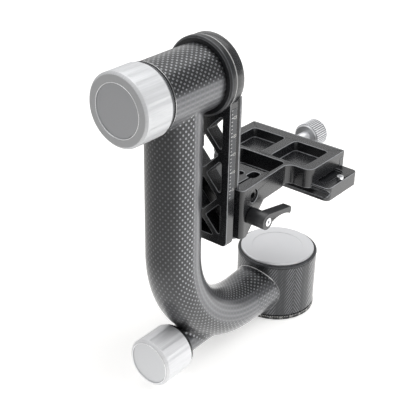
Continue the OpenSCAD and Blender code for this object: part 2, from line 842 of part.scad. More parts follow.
// Bracket: the plan of the arm and cross, cut to the side view of the clamp block.
module bracket_plan() {
    p = [[clamp_x, clamp_h], [cross_x, arm_h], [cross_x, cross_h], [cross_far_x, cross_h],
         [cross_far_x, -cross_h], [cross_x, -cross_h], [cross_x, -arm_h], [clamp_x, -clamp_h]];
    r = [clamp_round, deck_round, deck_round, deck_corner_round,
         deck_corner_round, deck_round, deck_round, clamp_round];
    translate([0, 0, clamp_low]) linear_extrude(deck_z - clamp_low) polygon(rounded(p, r, outline_steps));
}
module bracket_side()
    translate([0, 2 * cross_h, 0]) rotate([90, 0, 0]) linear_extrude(4 * cross_h)
        polygon([[clamp_x - past, deck_z], [clamp_x - past, clamp_low], [heel_x, clamp_low],
                 [knee_x, arm_low], [cross_x - deck_round, arm_low], [cross_x - deck_round / 2, deck_low],
                 [cross_far_x + past, deck_low], [cross_far_x + past, deck_z]]);

// The lens plate's profile, seen along Y, from the middle of its upper face.
function lens_profile(c) = [
    [-lens_h - c, c], [lens_h + c, c], [lens_h + c, -lens_flange_t],
    [lens_h + c - groove_d, -lens_flange_t - groove_d],
    [lens_h + c - groove_d, -lens_flange_t - groove_d - groove_waist],
    [lens_h + c, -lens_flange_t - 2 * groove_d - groove_waist], [lens_h + c, -lens_t],
    [-lens_h - c, -lens_t], [-lens_h - c, -lens_flange_t - 2 * groove_d - groove_waist],
    [-lens_h - c + groove_d, -lens_flange_t - groove_d - groove_waist],
    [-lens_h - c + groove_d, -lens_flange_t - groove_d], [-lens_h - c, -lens_flange_t]];
module lens_bar(length, c)
    translate([lens_x, lens_y + length / 2, lens_top]) rotate([90, 0, 0])
        linear_extrude(length) polygon(lens_profile(c));

// The moving jaw's profile, seen along Y: a block with a thin lip up to the deck. The
// room for it in the bracket is wider by c.
module jaw_bar(c) {
    out = c > 0 ? past : 0;
    far_x = cross_far_x + (c > 0 ? past : -jaw_gap);
    translate([0, cross_h + out, 0]) rotate([90, 0, 0]) linear_extrude(2 * (cross_h + out))
        polygon([[jaw_x - c, deck_low - out], [far_x, deck_low - out], [far_x, deck_z + out],
                 [jaw_lip_x - c, deck_z + out], [jaw_lip_x - c, jaw_top + c], [jaw_x - c, jaw_top - jaw_slope + c]]);
    box([jaw_x - c, -jaw_boss_h - c, jaw_top - jaw_slope - past], [far_x, jaw_boss_h + c, jaw_top + jaw_boss_t + c]);
}

module bracket()
    color(black) difference() {
        intersection() {
            bracket_plan();
            bracket_side();
        }
        translate([0, 0, clamp_low - past]) linear_extrude(deck_z - clamp_low + 2 * past) rail_section(jaw_gap);
        for (s = [-1, 1])
            pocket([deck_pocket_x, min(s * deck_rib_h, s * deck_pocket_h), deck_z - pocket_d],
                   [deck_pocket_far_x, max(s * deck_rib_h, s * deck_pocket_h), deck_z + past], pocket_round);
        pocket([arm_pocket_x, -arm_pocket_h, deck_z - arm_pocket_d],
               [arm_pocket_far_x, arm_pocket_h, deck_z + past], pocket_round);
        box([clamp_x - past, slit_y - slit_w / 2, clamp_low - past],
            [relief_x + relief_round, slit_y + slit_w / 2, deck_z + past]);
        pocket([relief_x, relief_y, clamp_low - past], [relief_far_x, relief_far_y, deck_z + past], relief_round);
        rod_z(dimple_r, deck_z - dimple_d, deck_z + past, dimple_x, dimple_y);
        lens_bar(2 * lens_l, jaw_gap);
        jaw_bar(jaw_line);
        rod_y(bolt_r + slip, -2 * clamp_h, bolt_end_y + gap, lever_x, lever_z);
        rod_y(side_bore_r, -2 * clamp_h, clamp_y(side_x) + side_bore_d, side_x, side_z);
        rod_y(side_screw_r, -clamp_h, side_screw_end_y, side_x, side_z);
        rod_x(jaw_screw_r + slip, jaw_screw_end_x - gap, cross_far_x, 0, jaw_screw_z);
        for (s = [-1, 1])
            rod_x(pin_r + slip, pin_x - gap, cross_far_x, s * pin_y, pin_z);
    }

module side_screw() {
    seat_y = clamp_y(side_x) + side_bore_d;
    color(steel) difference() {
        union() {
            rod_y(side_screw_r, seat_y, side_screw_end_y, side_x, side_z);
            rod_y(side_head_r, seat_y - cap_screw_head_t, seat_y, side_x, side_z);
        }
        translate([side_x, seat_y - cap_screw_head_t + hex_d, side_z]) rotate([90, 0, 0])
            cylinder(h = hex_d + past, r = hex_r, $fn = 6);
    }
}

// Height lock: the lever turns a bolt that closes the slit clamp on the rail.
module clamp_bolt()
    color(steel) rod_y(bolt_r, lever_face_y + lever_screw_t, bolt_end_y, lever_x, lever_z);

module clamp_lever()
    color(black) difference() {
        union() {
            rod_y(lever_r, lever_face_y, lever_back_y, lever_x, lever_z);
            translate([0, lever_face_y + lever_arm_t, 0]) rotate([90, 0, 0]) linear_extrude(lever_arm_t)
                lever_outline();
        }
        rod_y(bolt_r, lever_face_y + lever_screw_t, 0, lever_x, lever_z);
        rod_y(lever_screw_r, lever_face_y - past, lever_face_y + lever_screw_t, lever_x, lever_z);
    }

// The lever's arm leaves the top of its hub and is scooped out below.
module lever_outline() {
    tip_r = (lever_tip_high - lever_tip_low) / 3;
    difference() {
        polygon(rounded([[lever_x, lever_z + lever_r], [lever_x, lever_z - lever_r],
                         [lever_x + lever_r, lever_z - lever_r], [lever_tip_x, lever_tip_low],
                         [lever_tip_x, lever_tip_high]], [0, 0, 0, tip_r, tip_r], arc_steps));
        translate([lever_scoop_x, lever_scoop_top - lever_scoop_r]) circle(r = lever_scoop_r);
    }
}

module lever_screw()
    color(silver) difference() {
        rod_y(lever_screw_r, lever_face_y - lever_screw_proud, lever_face_y + lever_screw_t, lever_x, lever_z);
        translate([lever_x, lever_face_y + hex_d / 2, lever_z]) rotate([90, 0, 0])
            cylinder(h = hex_d + past, r = hex_r / 2, $fn = 6);
    }

// Lens clamp: the knob's screw pulls the moving jaw towards the fixed one.
module moving_jaw()
    color(black) difference() {
        intersection() {
            jaw_bar(0);
            bracket_plan();
        }
        lens_bar(2 * lens_l, jaw_gap);
        rod_x(jaw_screw_r + slip, jaw_x - past, cross_far_x + past, 0, jaw_screw_z);
        for (s = [-1, 1])
            rod_x(pin_r, jaw_x - past, pin_end_x, s * pin_y, pin_z);
    }

module guide_pins()
    color(steel) for (s = [-1, 1])
        rod_x(pin_r, pin_x, pin_end_x, s * pin_y, pin_z);

module jaw_screw()
    color(steel) rod_x(jaw_screw_r, jaw_screw_end_x, cross_far_x + clamp_neck_l + clamp_knob_l / 2, 0, jaw_screw_z);

module clamp_knob()
    color(silver) difference() {
        union() {
            rod_x(clamp_neck_r, cross_far_x, cross_far_x + clamp_neck_l + past, 0, jaw_screw_z);
            translate([cross_far_x + clamp_neck_l, 0, jaw_screw_z]) rotate([0, 90, 0])
                fluted(clamp_knob_r, clamp_knob_l, clamp_flute_count, clamp_flute_r, clamp_flute_d, chamfer * 2,
                       -chamfer * 2);
        }
        rod_x(jaw_screw_r, cross_far_x - past, cross_far_x + clamp_neck_l + clamp_knob_l / 2, 0, jaw_screw_z);
    }

// Lens plate: a dovetail bar with a shallow recess, a slot for the camera screws and a
// stop screw near each end.
module lens_plate() {
    end_y = lens_l / 2 - lens_recess_end;
    color(black) difference() {
        intersection() {
            lens_bar(lens_l, 0);
            pocket([lens_x - lens_h, lens_y - lens_l / 2, lens_low - past],
                   [lens_x + lens_h, lens_y + lens_l / 2, lens_top + past], lens_corner_r);
        }
        pocket([lens_x - lens_recess_h, lens_y - end_y, lens_top - lens_recess_d],
               [lens_x + lens_recess_h, lens_y + end_y, lens_top + past], lens_corner_r);
        pocket([lens_x - slot_h, lens_y - lens_l / 2 + slot_end, lens_low - past],
               [lens_x + slot_h, lens_y + lens_l / 2 - slot_end, lens_top + past], slot_h - slip);
        for (s = [-1, 1])
            translate([lens_x, lens_y + s * camera_y, 0])
                rod_z(camera_head_r + gap, lens_top - lens_recess_d - camera_head_t, lens_top + past);
        at_stop_screws() rod_z(stop_thread_r, lens_low + lens_t / 2, lens_top + past);
    }
}

module at_stop_screws()
    for (s = [-1, 1])
        translate([lens_x, lens_y + s * (lens_l / 2 - stop_inset), 0]) children();

module stop_screws()
    color(silver) at_stop_screws() difference() {
        union() {
            rod_z(stop_thread_r, lens_low + lens_t / 2, lens_top + past);
            rod_z(stop_screw_r, lens_top, lens_top + stop_screw_h);
        }
        translate([0, 0, lens_top + stop_screw_h / 2]) cylinder(h = stop_screw_h, r = hex_r / 2, $fn = 6);
    }

module camera_screws()
    color(steel) for (s = [-1, 1])
        translate([lens_x, lens_y + s * camera_y, 0]) difference() {
            union() {
                rod_z(camera_head_r, lens_top - lens_recess_d - camera_head_t, lens_top - lens_recess_d);
                rod_z(camera_neck_r, lens_low - camera_reach, lens_top - lens_recess_d);
                rod_z(camera_r, lens_low - camera_reach, lens_low - camera_reach + camera_thread_l);
            }
            box([-camera_head_r, -chamfer, lens_top - lens_recess_d - camera_head_t / 2],
                [camera_head_r, chamfer, lens_top]);
        }

base_plate();
tripod_bush();
plate_screws();
pan_spindle();
lower_inner_ring();
upper_inner_ring();
spindle_nut();
lower_balls();
upper_balls();
base_shell();
lower_tube();
arm_bend();
lock_housing();
upright_tube();
top_tube();
bearing_carrier();
lower_outer_ring();
upper_outer_ring();
trim_ring();
base_cap();
guide_sleeve();
lock_washer();
brake_shoe();
pan_lock_rod();
pan_lock_knob();
pan_knob_disc();
top_liner();
end_collar();
flange_ring();
tilt_washer();
rear_outer_ring();
front_outer_ring();
rear_balls();
front_balls();
tilt_shaft();
tilt_spacer();
rear_inner_ring();
front_inner_ring();
pressure_disc();
tilt_lock_knob();
tilt_knob_disc();
swing_plate();
hub_screws();
height_scale();
bracket();
side_screw();
clamp_bolt();
clamp_lever();
lever_screw();
moving_jaw();
guide_pins();
jaw_screw();
clamp_knob();
lens_plate();
stop_screws();
camera_screws();
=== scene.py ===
"""Gimbal tripod head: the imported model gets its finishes, moulded carbon arm, marks and studio."""

import math

import bpy
import numpy as np
from mathutils import Matrix, Vector


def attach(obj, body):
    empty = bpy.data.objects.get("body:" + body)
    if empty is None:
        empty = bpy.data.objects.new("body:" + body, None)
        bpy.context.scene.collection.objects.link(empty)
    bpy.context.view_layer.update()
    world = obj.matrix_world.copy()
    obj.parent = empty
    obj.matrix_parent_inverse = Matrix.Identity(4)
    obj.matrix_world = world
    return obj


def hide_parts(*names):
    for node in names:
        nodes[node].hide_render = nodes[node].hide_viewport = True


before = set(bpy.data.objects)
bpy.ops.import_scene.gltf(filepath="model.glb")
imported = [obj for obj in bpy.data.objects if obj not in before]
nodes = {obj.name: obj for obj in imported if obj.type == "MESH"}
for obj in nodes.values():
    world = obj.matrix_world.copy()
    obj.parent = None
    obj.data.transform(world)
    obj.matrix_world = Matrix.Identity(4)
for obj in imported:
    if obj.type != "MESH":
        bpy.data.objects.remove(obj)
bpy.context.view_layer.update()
MM = 0.001

# Trim ring, end collar, flange ring and lock washer. Turned from aluminium bar, bead
# blasted and anodised black, so they are dark and satin. The edges of the collar and the
# two rings get a painted highlight: a pale bevel colour that stands in for the light they
# catch. The blast's real tooth is finer; it is drawn at 0.35 mm so that it shows.
BLACK, BLACK_CLOUD = "#141517", "#242528"
BLAST_MM, BLAST_DEPTH_MM, CLOUD_MM = 0.35, 0.05, 14
BLAST_BUMP = {"Strength": 0.12, "Distance": BLAST_DEPTH_MM * MM}
# The second size is that of the patches in the painted edge highlight.
RING_EDGE_MM, HIGHLIGHT_PATCH_MM = 0.3, 3
WELD_MM = 0.001
SHARP = math.radians(38)


def linear(colour):
    """An sRGB hex colour as the linear colour of a socket."""
    parts = [int(colour[i : i + 2], 16) / 255 for i in (1, 3, 5)]
    return [c / 12.92 if c <= 0.04045 else ((c + 0.055) / 1.055) ** 2.4 for c in parts] + [1]


def darker(colour, share):
    """The linear colour of an sRGB hex colour, times a share."""
    return [c * share for c in linear(colour)[:3]] + [1]


def fill(node, values):
    """Sets a node's sockets, linking those that are given as sockets."""
    for name, value in values.items():
        if isinstance(value, bpy.types.NodeSocket):
            node.id_data.links.new(value, node.inputs[name])
        else:
            node.inputs[name].default_value = value


def add(tree, kind, inputs=None, **settings):
    """Adds a node with its settings, and fills its sockets."""
    node = tree.nodes.new("ShaderNode" + kind)
    for name, value in settings.items():
        setattr(node, name, value)
    fill(node, inputs or {})
    return node


def finish_named(name):
    """A new material's tree, with its shader and the object's own coordinates."""
    material = bpy.data.materials.new(name)
    material.use_nodes = True
    tree = material.node_tree
    place = add(tree, "TexCoord").outputs["Object"]
    return material, tree, tree.nodes["Principled BSDF"], place


def black_anodised(name, colour=BLACK, rough=0.3, ior=1.7):
    """Bead-blasted black anodised aluminium: a fine tooth, and a coat that varies a little."""
    material, tree, shader, place = finish_named(name)
    tooth = add(tree, "TexNoise", {"Vector": place, "Scale": 1 / (BLAST_MM * MM), "Detail": 2.0})
    cloud = add(tree, "TexNoise", {"Vector": place, "Scale": 1 / (CLOUD_MM * MM), "Detail": 3.0})
    colours = {"Color1": linear(colour), "Color2": linear(BLACK_CLOUD)}
    tone = add(tree, "MixRGB", {"Fac": cloud.outputs["Fac"], **colours})
    limits = {"From Min": 0.3, "From Max": 0.7, "To Min": rough - 0.05, "To Max": rough + 0.07}
    gloss = add(tree, "MapRange", {"Value": tooth.outputs["Fac"], **limits})
    bump = add(tree, "Bump", {"Height": tooth.outputs["Fac"], **BLAST_BUMP})
    fill(shader, {"Base Color": tone.outputs["Color"], "IOR": ior})
    fill(shader, {"Roughness": gloss.outputs["Result"], "Normal": bump.outputs["Normal"]})
    return material


def dress(material, *names):
    """Gives CAD nodes a finish."""
    for name in names:
        for slot in nodes[name].material_slots:
            slot.material = material


def ease(width_mm, *names, edge=None, even=True):
    """Breaks the sharp edges of CAD nodes, as a deburring pass does, and may give the bevel a
    painted highlight colour.
    """
    for name in names:
        weld = nodes[name].modifiers.new("weld", "WELD")
        weld.merge_threshold = WELD_MM * MM
        bevel = nodes[name].modifiers.new("ease", "BEVEL")
        bevel.width = width_mm * MM
        bevel.segments = 2
        bevel.limit_method = "ANGLE"
        bevel.angle_limit = SHARP
        bevel.harden_normals = True
        bevel.use_clamp_overlap = not even
        if edge:
            nodes[name].data.materials.append(edge)
            bevel.material = len(nodes[name].material_slots) - 1


def worn_edge(name, dark, light):
    """A painted highlight for a bevel: a pale colour in patches, standing in for the light that an
    edge catches.
    """
    material, tree, shader, place = finish_named(name)
    highlight_patches = add(tree, "TexNoise", {"Vector": place, "Scale": 1 / (HIGHLIGHT_PATCH_MM * MM), "Detail": 3.0})
    colours = {"Color1": linear(dark), "Color2": linear(light)}
    tone = add(tree, "MixRGB", {"Fac": highlight_patches.outputs["Fac"], **colours})
    fill(shader, {"Base Color": tone.outputs["Color"], "Metallic": 0.4, "Roughness": 0.3})
    return material


black = black_anodised("black_anodised_aluminium", ior=1.5)
dress(black, "trim_ring", "end_collar", "flange_ring", "lock_washer")
# Painted highlights on the edges: a bright bevel colour on the collar, a dimmer one on the rings.
highlight_edge_black = worn_edge("painted_highlight_black_edge", "#5d5e62", "#b6b8bb")
ease(RING_EDGE_MM, "end_collar", edge=highlight_edge_black)
dim_highlight_edge_black = worn_edge("dim_painted_highlight_black_edge", "#2c2d2f", "#6d6f73")
ease(RING_EDGE_MM, "trim_ring", "flange_ring", edge=dim_highlight_edge_black)

# Base plate with its degree ring. Black anodised like the trim ring; laser-cut marks round
# the rim are filled with white, a short one every 2.5 degrees and a long one every 15.
MARK, MARK_WORN = "#e9e8e4", "#cfcec9"
SHORT_MARK_DEG, SHORT_MARK_W_DEG = 2.5, 0.7
LONG_MARK_DEG, LONG_MARK_W_DEG = 15, 1.1
MARK_TOP_MM, SHORT_MARK_LOW_MM, LONG_MARK_LOW_MM = 3.2, 2.5, 2.2


def marks(tree, along, step, width):
    """1 on marks of this width, a step apart, and 0 between them."""
    near = add(tree, "Math", {0: along, 1: step / 2}, operation="PINGPONG").outputs[0]
    return add(tree, "Math", {0: near, 1: width / 2}, operation="LESS_THAN").outputs[0]


def between(tree, value, low, high):
    """1 where a value lies between two limits."""
    over = add(tree, "Math", {0: value, 1: low}, operation="GREATER_THAN").outputs[0]
    under = add(tree, "Math", {0: value, 1: high}, operation="LESS_THAN").outputs[0]
    return add(tree, "Math", {0: over, 1: under}, operation="MULTIPLY").outputs[0]


def scale_of_marks(tree, along, across, rows):
    """1 on a scale's marks: each row has its step, width and limits across the scale."""
    inked = None
    for step, width, low, high in rows:
        row, band = marks(tree, along, step, width), between(tree, across, low, high)
        row = add(tree, "Math", {0: row, 1: band}, operation="MULTIPLY").outputs[0]
        if inked is not None:
            row = add(tree, "Math", {0: inked, 1: row}, operation="MAXIMUM").outputs[0]
        inked = row
    return inked


ring, tree, shader, place = finish_named("black_anodised_degree_ring")
axes = add(tree, "SeparateXYZ", {0: place}).outputs
angle = add(tree, "Math", {0: axes["Y"], 1: axes["X"]}, operation="ARCTAN2").outputs[0]
rows = (
    (SHORT_MARK_DEG, SHORT_MARK_W_DEG, SHORT_MARK_LOW_MM),
    (LONG_MARK_DEG, LONG_MARK_W_DEG, LONG_MARK_LOW_MM),
)
rows = [(math.radians(s), math.radians(w), low * MM, MARK_TOP_MM * MM) for s, w, low in rows]
inked = scale_of_marks(tree, angle, axes["Z"], rows)
tooth = add(tree, "TexNoise", {"Vector": place, "Scale": 1 / (BLAST_MM * MM)})
tone = add(tree, "MixRGB", {"Fac": inked, "Color1": linear(BLACK), "Color2": linear(MARK)})
bump = add(tree, "Bump", {"Height": tooth.outputs["Fac"], **BLAST_BUMP})
fill(shader, {"Base Color": tone.outputs["Color"], "Metallic": 0.2, "Roughness": 0.4})
fill(shader, {"Normal": bump.outputs["Normal"]})
dress(ring, "base_plate")

# Spindle, bearings, screws, rods and nuts. Turned or ground steel, bright, with the
# tool's rings, which are finer in truth and drawn 0.4 mm wide so that they show. The
# brake shoe is brass.
TURNED, BRASS = "#a2a4a8", "#b3924f"
SMEAR_MM, TURNED_DEPTH_MM = 6, 0.02
RING_SHARE = 0.86


def turned(name, colour, rough, ring_mm, direction="X"):
    """Turned metal: rings across an axis that the tool left, and a faint smear."""
    material, tree, shader, place = finish_named(name)
    smear = add(tree, "TexNoise", {"Vector": place, "Scale": 1 / (SMEAR_MM * MM), "Detail": 4.0})
    axes = add(tree, "SeparateXYZ", {0: place}).outputs
    along = add(tree, "CombineXYZ", {"X": axes[direction]}).outputs[0]
    rings = add(tree, "TexNoise", {"Vector": along, "Scale": 1 / (ring_mm * MM), "Detail": 2.0})
    limits = {"From Min": 0.3, "From Max": 0.7, "To Min": rough - 0.04, "To Max": rough + 0.05}
    gloss = add(tree, "MapRange", {"Value": smear.outputs["Fac"], **limits})
    colours = {"Color1": linear(colour), "Color2": darker(colour, RING_SHARE)}
    tone = add(tree, "MixRGB", {"Fac": rings.outputs["Fac"], **colours})
    depth = {"Strength": 0.1, "Distance": TURNED_DEPTH_MM * MM}
    bump = add(tree, "Bump", {"Height": rings.outputs["Fac"], **depth})
    fill(shader, {"Base Color": tone.outputs["Color"], "Metallic": 1.0})
    fill(shader, {"Roughness": gloss.outputs["Result"], "Normal": bump.outputs["Normal"]})
    return material


steel_z = turned("turned_steel_upright", TURNED, rough=0.3, ring_mm=0.4, direction="Z")
steel_x = turned("turned_steel_along_x", TURNED, rough=0.3, ring_mm=0.4, direction="X")
steel_y = turned("turned_steel_along_y", TURNED, rough=0.3, ring_mm=0.4, direction="Y")
dress(steel_z, "tripod_bush", "plate_screws", "pan_spindle", "spindle_nut", "camera_screws")
dress(steel_z, "lower_inner_ring", "upper_inner_ring", "lower_outer_ring", "upper_outer_ring")
dress(steel_z, "lower_balls", "upper_balls", "bearing_carrier")
dress(steel_x, "guide_sleeve", "pan_lock_rod", "top_liner", "rear_outer_ring", "front_outer_ring")
dress(steel_x, "rear_balls", "front_balls", "tilt_shaft", "tilt_spacer", "rear_inner_ring")
dress(steel_x, "front_inner_ring", "pressure_disc", "hub_screws", "guide_pins", "jaw_screw")
dress(steel_y, "clamp_bolt")
dress(turned("turned_brass_shoe", BRASS, rough=0.35, ring_mm=0.5), "brake_shoe")

# Base cap. A silver anodised aluminium disc with a satin face and a shallow turned
# recess, so it is pale and even, with one bright line at the recess. Its real grain is
# finer; it is drawn at 0.4 mm so that it shows.
CAP, CAP_CLOUD = "#e8e8ea", "#e2e3e5"
CAP_EDGE_MM = 0.15
CAP_GRAIN_MM, CAP_CLOUD_MM, CAP_DEPTH_MM = 0.4, 22, 0.03
cap, tree, shader, place = finish_named("satin_silver_anodised_cap")
grain = add(tree, "TexNoise", {"Vector": place, "Scale": 1 / (CAP_GRAIN_MM * MM), "Detail": 2.0})
cloud = add(tree, "TexNoise", {"Vector": place, "Scale": 1 / (CAP_CLOUD_MM * MM), "Detail": 2.0})
colours = {"Color1": linear(CAP), "Color2": linear(CAP_CLOUD)}
tone = add(tree, "MixRGB", {"Fac": cloud.outputs["Fac"], **colours})
gloss = add(tree, "MapRange", {"Value": grain.outputs["Fac"], "To Min": 0.42, "To Max": 0.56})
depth = {"Strength": 0.08, "Distance": CAP_DEPTH_MM * MM}
bump = add(tree, "Bump", {"Height": grain.outputs["Fac"], **depth})
fill(shader, {"Base Color": tone.outputs["Color"], "Metallic": 0.85})
fill(shader, {"Roughness": gloss.outputs["Result"], "Normal": bump.outputs["Normal"]})
dress(cap, "base_cap")
ease(CAP_EDGE_MM, "base_cap")

# Carbon arm, one moulding. Woven sleeve laid over a core, pressed and cured, then clear
# coated: the tubes run into each other in smooth fillets. The weave's glints are painted
# highlights, pale dots on its crowns, and its flanks get a smooth painted sheen.
TUBE_R, TOP_R, SHELL_R, HOUSING_R, FLARE_R = 18.0, 21.3, 29.8, 10.3, 19.3
TOP_BORE_R = 18.85
ARM_X, BEND_R, LOWER_Z, TILT_Z = -122.0, 75.3, 23.1, 211.6
BEND_X, BEND_Z = ARM_X + BEND_R, LOWER_Z + BEND_R
FLARE_X, FLARE_PAST, SHELL_LOW, SHELL_TOP = -20.0, 1.2, 3.8, 45.3
HOUSING_X, TOP_X, FLANGE_X = -119.3, -145.6, -98.5
SHELL_FILLET, TOP_FILLET, HOUSING_FILLET = 1.0, 1.2, 5.0
SHELL_FADE, TOP_FADE, HOUSING_FADE = (0, 4), (2 - TILT_Z, 12 - TILT_Z), (84, 100)
GRID_MM, PULLS, PULL_SHARE = 1.0, 6, 0.9
ROOM_LOW, ROOM_HIGH = (-152, -36, -2), (36, 36, 240)
FAR = 1e3


def smooth_min(a, b, width):
    """The nearer of two distances, with a fillet of about this width between them."""
    h = np.maximum(width - np.abs(a - b), 0) / np.maximum(width, 1e-6)
    return np.minimum(a, b) - h * h * width / 4


def ramp(value, low, high):
    """0 below low, 1 above high and smooth between."""
    t = np.clip((value - low) / (high - low), 0, 1)
    return t * t * (3 - 2 * t)


def arm_parts(p):
    """Distances in mm from the shell, the bent tube, the top tube and the lock's housing."""
    x, y, z = p[:, 0], p[:, 1], p[:, 2]
    shell = np.hypot(x, y) - SHELL_R
    slope = np.clip((x - BEND_X) / (FLARE_X - BEND_X), 0, FLARE_PAST)
    lower = np.hypot(y, z - LOWER_Z) - (TUBE_R + (FLARE_R - TUBE_R) * slope)
    lower = np.maximum(lower, x)
    upright = np.hypot(x - ARM_X, y) - TUBE_R
    bend = np.hypot(np.hypot(x - BEND_X, z - BEND_Z) - BEND_R, y) - TUBE_R
    outside = (x < BEND_X) & (z < BEND_Z)
    straight = np.minimum(np.where(x > BEND_X, lower, FAR), np.where(z > BEND_Z, upright, FAR))
    tube = np.maximum(np.where(outside, bend, straight), z - TILT_Z)
    top = np.hypot(y, z - TILT_Z) - TOP_R
    housing = np.hypot(y, z - LOWER_Z) - HOUSING_R
    housing = np.maximum(housing, x - BEND_X)
    return shell, tube, top, housing


def arm_distance(p):
    """Distance from the whole moulding, with its fillets, its flat ends and the top tube's bore."""
    x, y, z = p[:, 0], p[:, 1], p[:, 2]
    shell, tube, top, housing = arm_parts(p)
    shell = np.maximum(shell, z - SHELL_TOP)
    top = np.maximum(top, np.maximum(TOP_X - x, x - FLANGE_X))
    housing = np.maximum(housing, HOUSING_X - x)
    d = smooth_min(tube, shell, SHELL_FILLET * ramp(SHELL_TOP - z, *SHELL_FADE))
    d = smooth_min(d, top, TOP_FILLET * ramp(-z, *TOP_FADE))
    d = smooth_min(d, housing, HOUSING_FILLET * ramp(-x, *HOUSING_FADE))
    d = np.maximum(d, TOP_BORE_R - np.hypot(y, z - TILT_Z))
    return np.maximum(d, SHELL_LOW - z)


def surface(distance, low, high, step):
    """Quads round the zero of a distance: one point in each grid cell that the surface cuts."""
    counts = [int((b - a) / step) + 1 for a, b in zip(low, high)]
    ticks = [a + step * np.arange(n) for a, n in zip(low, counts)]
    grid = np.stack(np.meshgrid(*ticks, indexing="ij"), -1)
    inside = distance(grid.reshape(-1, 3)).reshape(counts) < 0
    cells = [n - 1 for n in counts]
    hits = np.zeros(cells, int)
    for i in (0, 1):
        for j in (0, 1):
            for k in (0, 1):
                hits += inside[i : i + cells[0], j : j + cells[1], k : k + cells[2]]
    cut = (hits > 0) & (hits < 8)
    number = np.full(cells, -1)
    number[cut] = np.arange(cut.sum())
    points = np.argwhere(cut) * step + np.array(low) + step / 2
    quads = []
    for axis in (0, 1, 2):
        u, v = (axis + 1) % 3, (axis + 2) % 3
        ahead, behind = [slice(None)] * 3, [slice(None)] * 3
        ahead[axis], behind[axis] = slice(1, None), slice(0, -1)
        crossing = np.argwhere(inside[tuple(ahead)] != inside[tuple(behind)])
        enter = inside[tuple(behind)][tuple(crossing.T)]
        corners = []
        for du, dv in ((-1, -1), (0, -1), (0, 0), (-1, 0)):
            cell = crossing.copy()
            cell[:, u] += du
            cell[:, v] += dv
            corners.append(number[tuple(cell.T)])
        quad = np.stack(corners, 1)
        quads.append(np.where(enter[:, None], quad, quad[:, ::-1]))
    return points, np.concatenate(quads)


def slope_of(distance, p, h=0.02):
    """The direction in which a distance grows."""
    steps = [distance(p + h * e) - distance(p - h * e) for e in np.eye(3)]
    g = np.stack(steps, 1)
    return g / np.maximum(np.linalg.norm(g, axis=1, keepdims=True), 1e-9)


points, quads = surface(arm_distance, ROOM_LOW, ROOM_HIGH, GRID_MM)
for _ in range(PULLS):
    towards = slope_of(arm_distance, points)
    points = points - arm_distance(points)[:, None] * towards * PULL_SHARE

# Weave of the sleeve. It runs along each tube, so every corner gets its place round and
# along the tube that its face belongs to, counted in tows about 2 mm wide. The shell's is
# a twill, mirrored about a plane through its axis, so that its ribs meet in a V.
TOW_MM, SHELL_TOW_MM = 2.18, 0.85
TOWS_ROUND = {0: 64, 1: 80, 2: 30}
SHELL_MIRROR = math.radians(-118)
SHELL_PART, SHELL_NEAR_MM, SHELL_RIM_MM = 3, 1.2, 0.6
RIB_ACROSS, RIB_SPREAD, RIB_LIFT = 1.7, 0.25, 0.6
BREAK_MM, FIBRE_MM, CARBON_CLOUD_MM, WEAVE_DEPTH_MM = 2.2, 0.8, 16, 0.2
# The first share sets how strongly the painted sheen is laid on and the glints are left out.
PAINTED_SHEEN_SHARE, FIBRE_SHARE = 0.88, 0.2
CARBON_DARK, CARBON_CLOUD = "#2b2c2e", "#3b3c3e"
# The last two colours are a painted sheen: a paler grey with faint lines that stands in for the
# reflection on the tubes' flanks.
CARBON_SHEEN, CARBON_SHEEN_LINE = "#5b5c5f", "#75767a"


def turned_near(u, first):
    """Angles moved by whole turns to lie within half a turn of the first ones."""
    return first + np.mod(u - first + math.pi, 2 * math.pi) - math.pi


def weave_place(p, middle):
    """Angle round and length along the nearest tube, and which tube, for corners of faces."""
    shell, tube, top, housing = arm_parts(middle)
    part = np.argmin(np.stack([np.abs(tube), np.abs(top), np.abs(housing), np.abs(shell)]), 0)
    inner = np.hypot(middle[:, 0], middle[:, 1]) < SHELL_R + SHELL_RIM_MM
    on_shell = (np.abs(shell) < SHELL_NEAR_MM) & inner
    part = np.where(on_shell, SHELL_PART, part)
    x, y, z = p[..., 0], p[..., 1], p[..., 2]
    face_x, face_z = middle[:, 0, None], middle[:, 2, None]
    bent = (face_x < BEND_X) & (face_z < BEND_Z)
    up = face_z >= BEND_Z
    rho = np.hypot(x - BEND_X, z - BEND_Z)
    turn = np.arctan2(-(x - BEND_X), -(z - BEND_Z))
    out = np.where(up, -(x - ARM_X), np.where(bent, rho - BEND_R, -(z - LOWER_Z)))
    run = np.where(bent, BEND_R * turn, -(x - BEND_X))
    run = np.where(up, BEND_R * math.pi / 2 + z - BEND_Z, run)
    places = (
        (np.arctan2(y, out), run),
        (np.arctan2(y, z - TILT_Z), x),
        (np.arctan2(y, -(z - LOWER_Z)), x),
        (np.arctan2(y, x), z),
    )
    u, v = np.zeros(x.shape), np.zeros(x.shape)
    for i, (round_it, along_it) in enumerate(places):
        chosen = (part == i)[:, None]
        u = np.where(chosen, round_it, u)
        v = np.where(chosen, along_it, v)
    return turned_near(u, u[:, :1]), v, part


def mesh_piece(name, verts, faces, material, body):
    """A piece from points in mm and faces, with one finish, riding on a body."""
    mesh = bpy.data.meshes.new(name)
    mesh.from_pydata((np.asarray(verts) * MM).tolist(), [], [list(map(int, f)) for f in faces])
    mesh.materials.append(material)
    piece = bpy.data.objects.new(name, mesh)
    bpy.context.scene.collection.objects.link(piece)
    mesh.shade_smooth()
    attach(piece, body)
    return piece


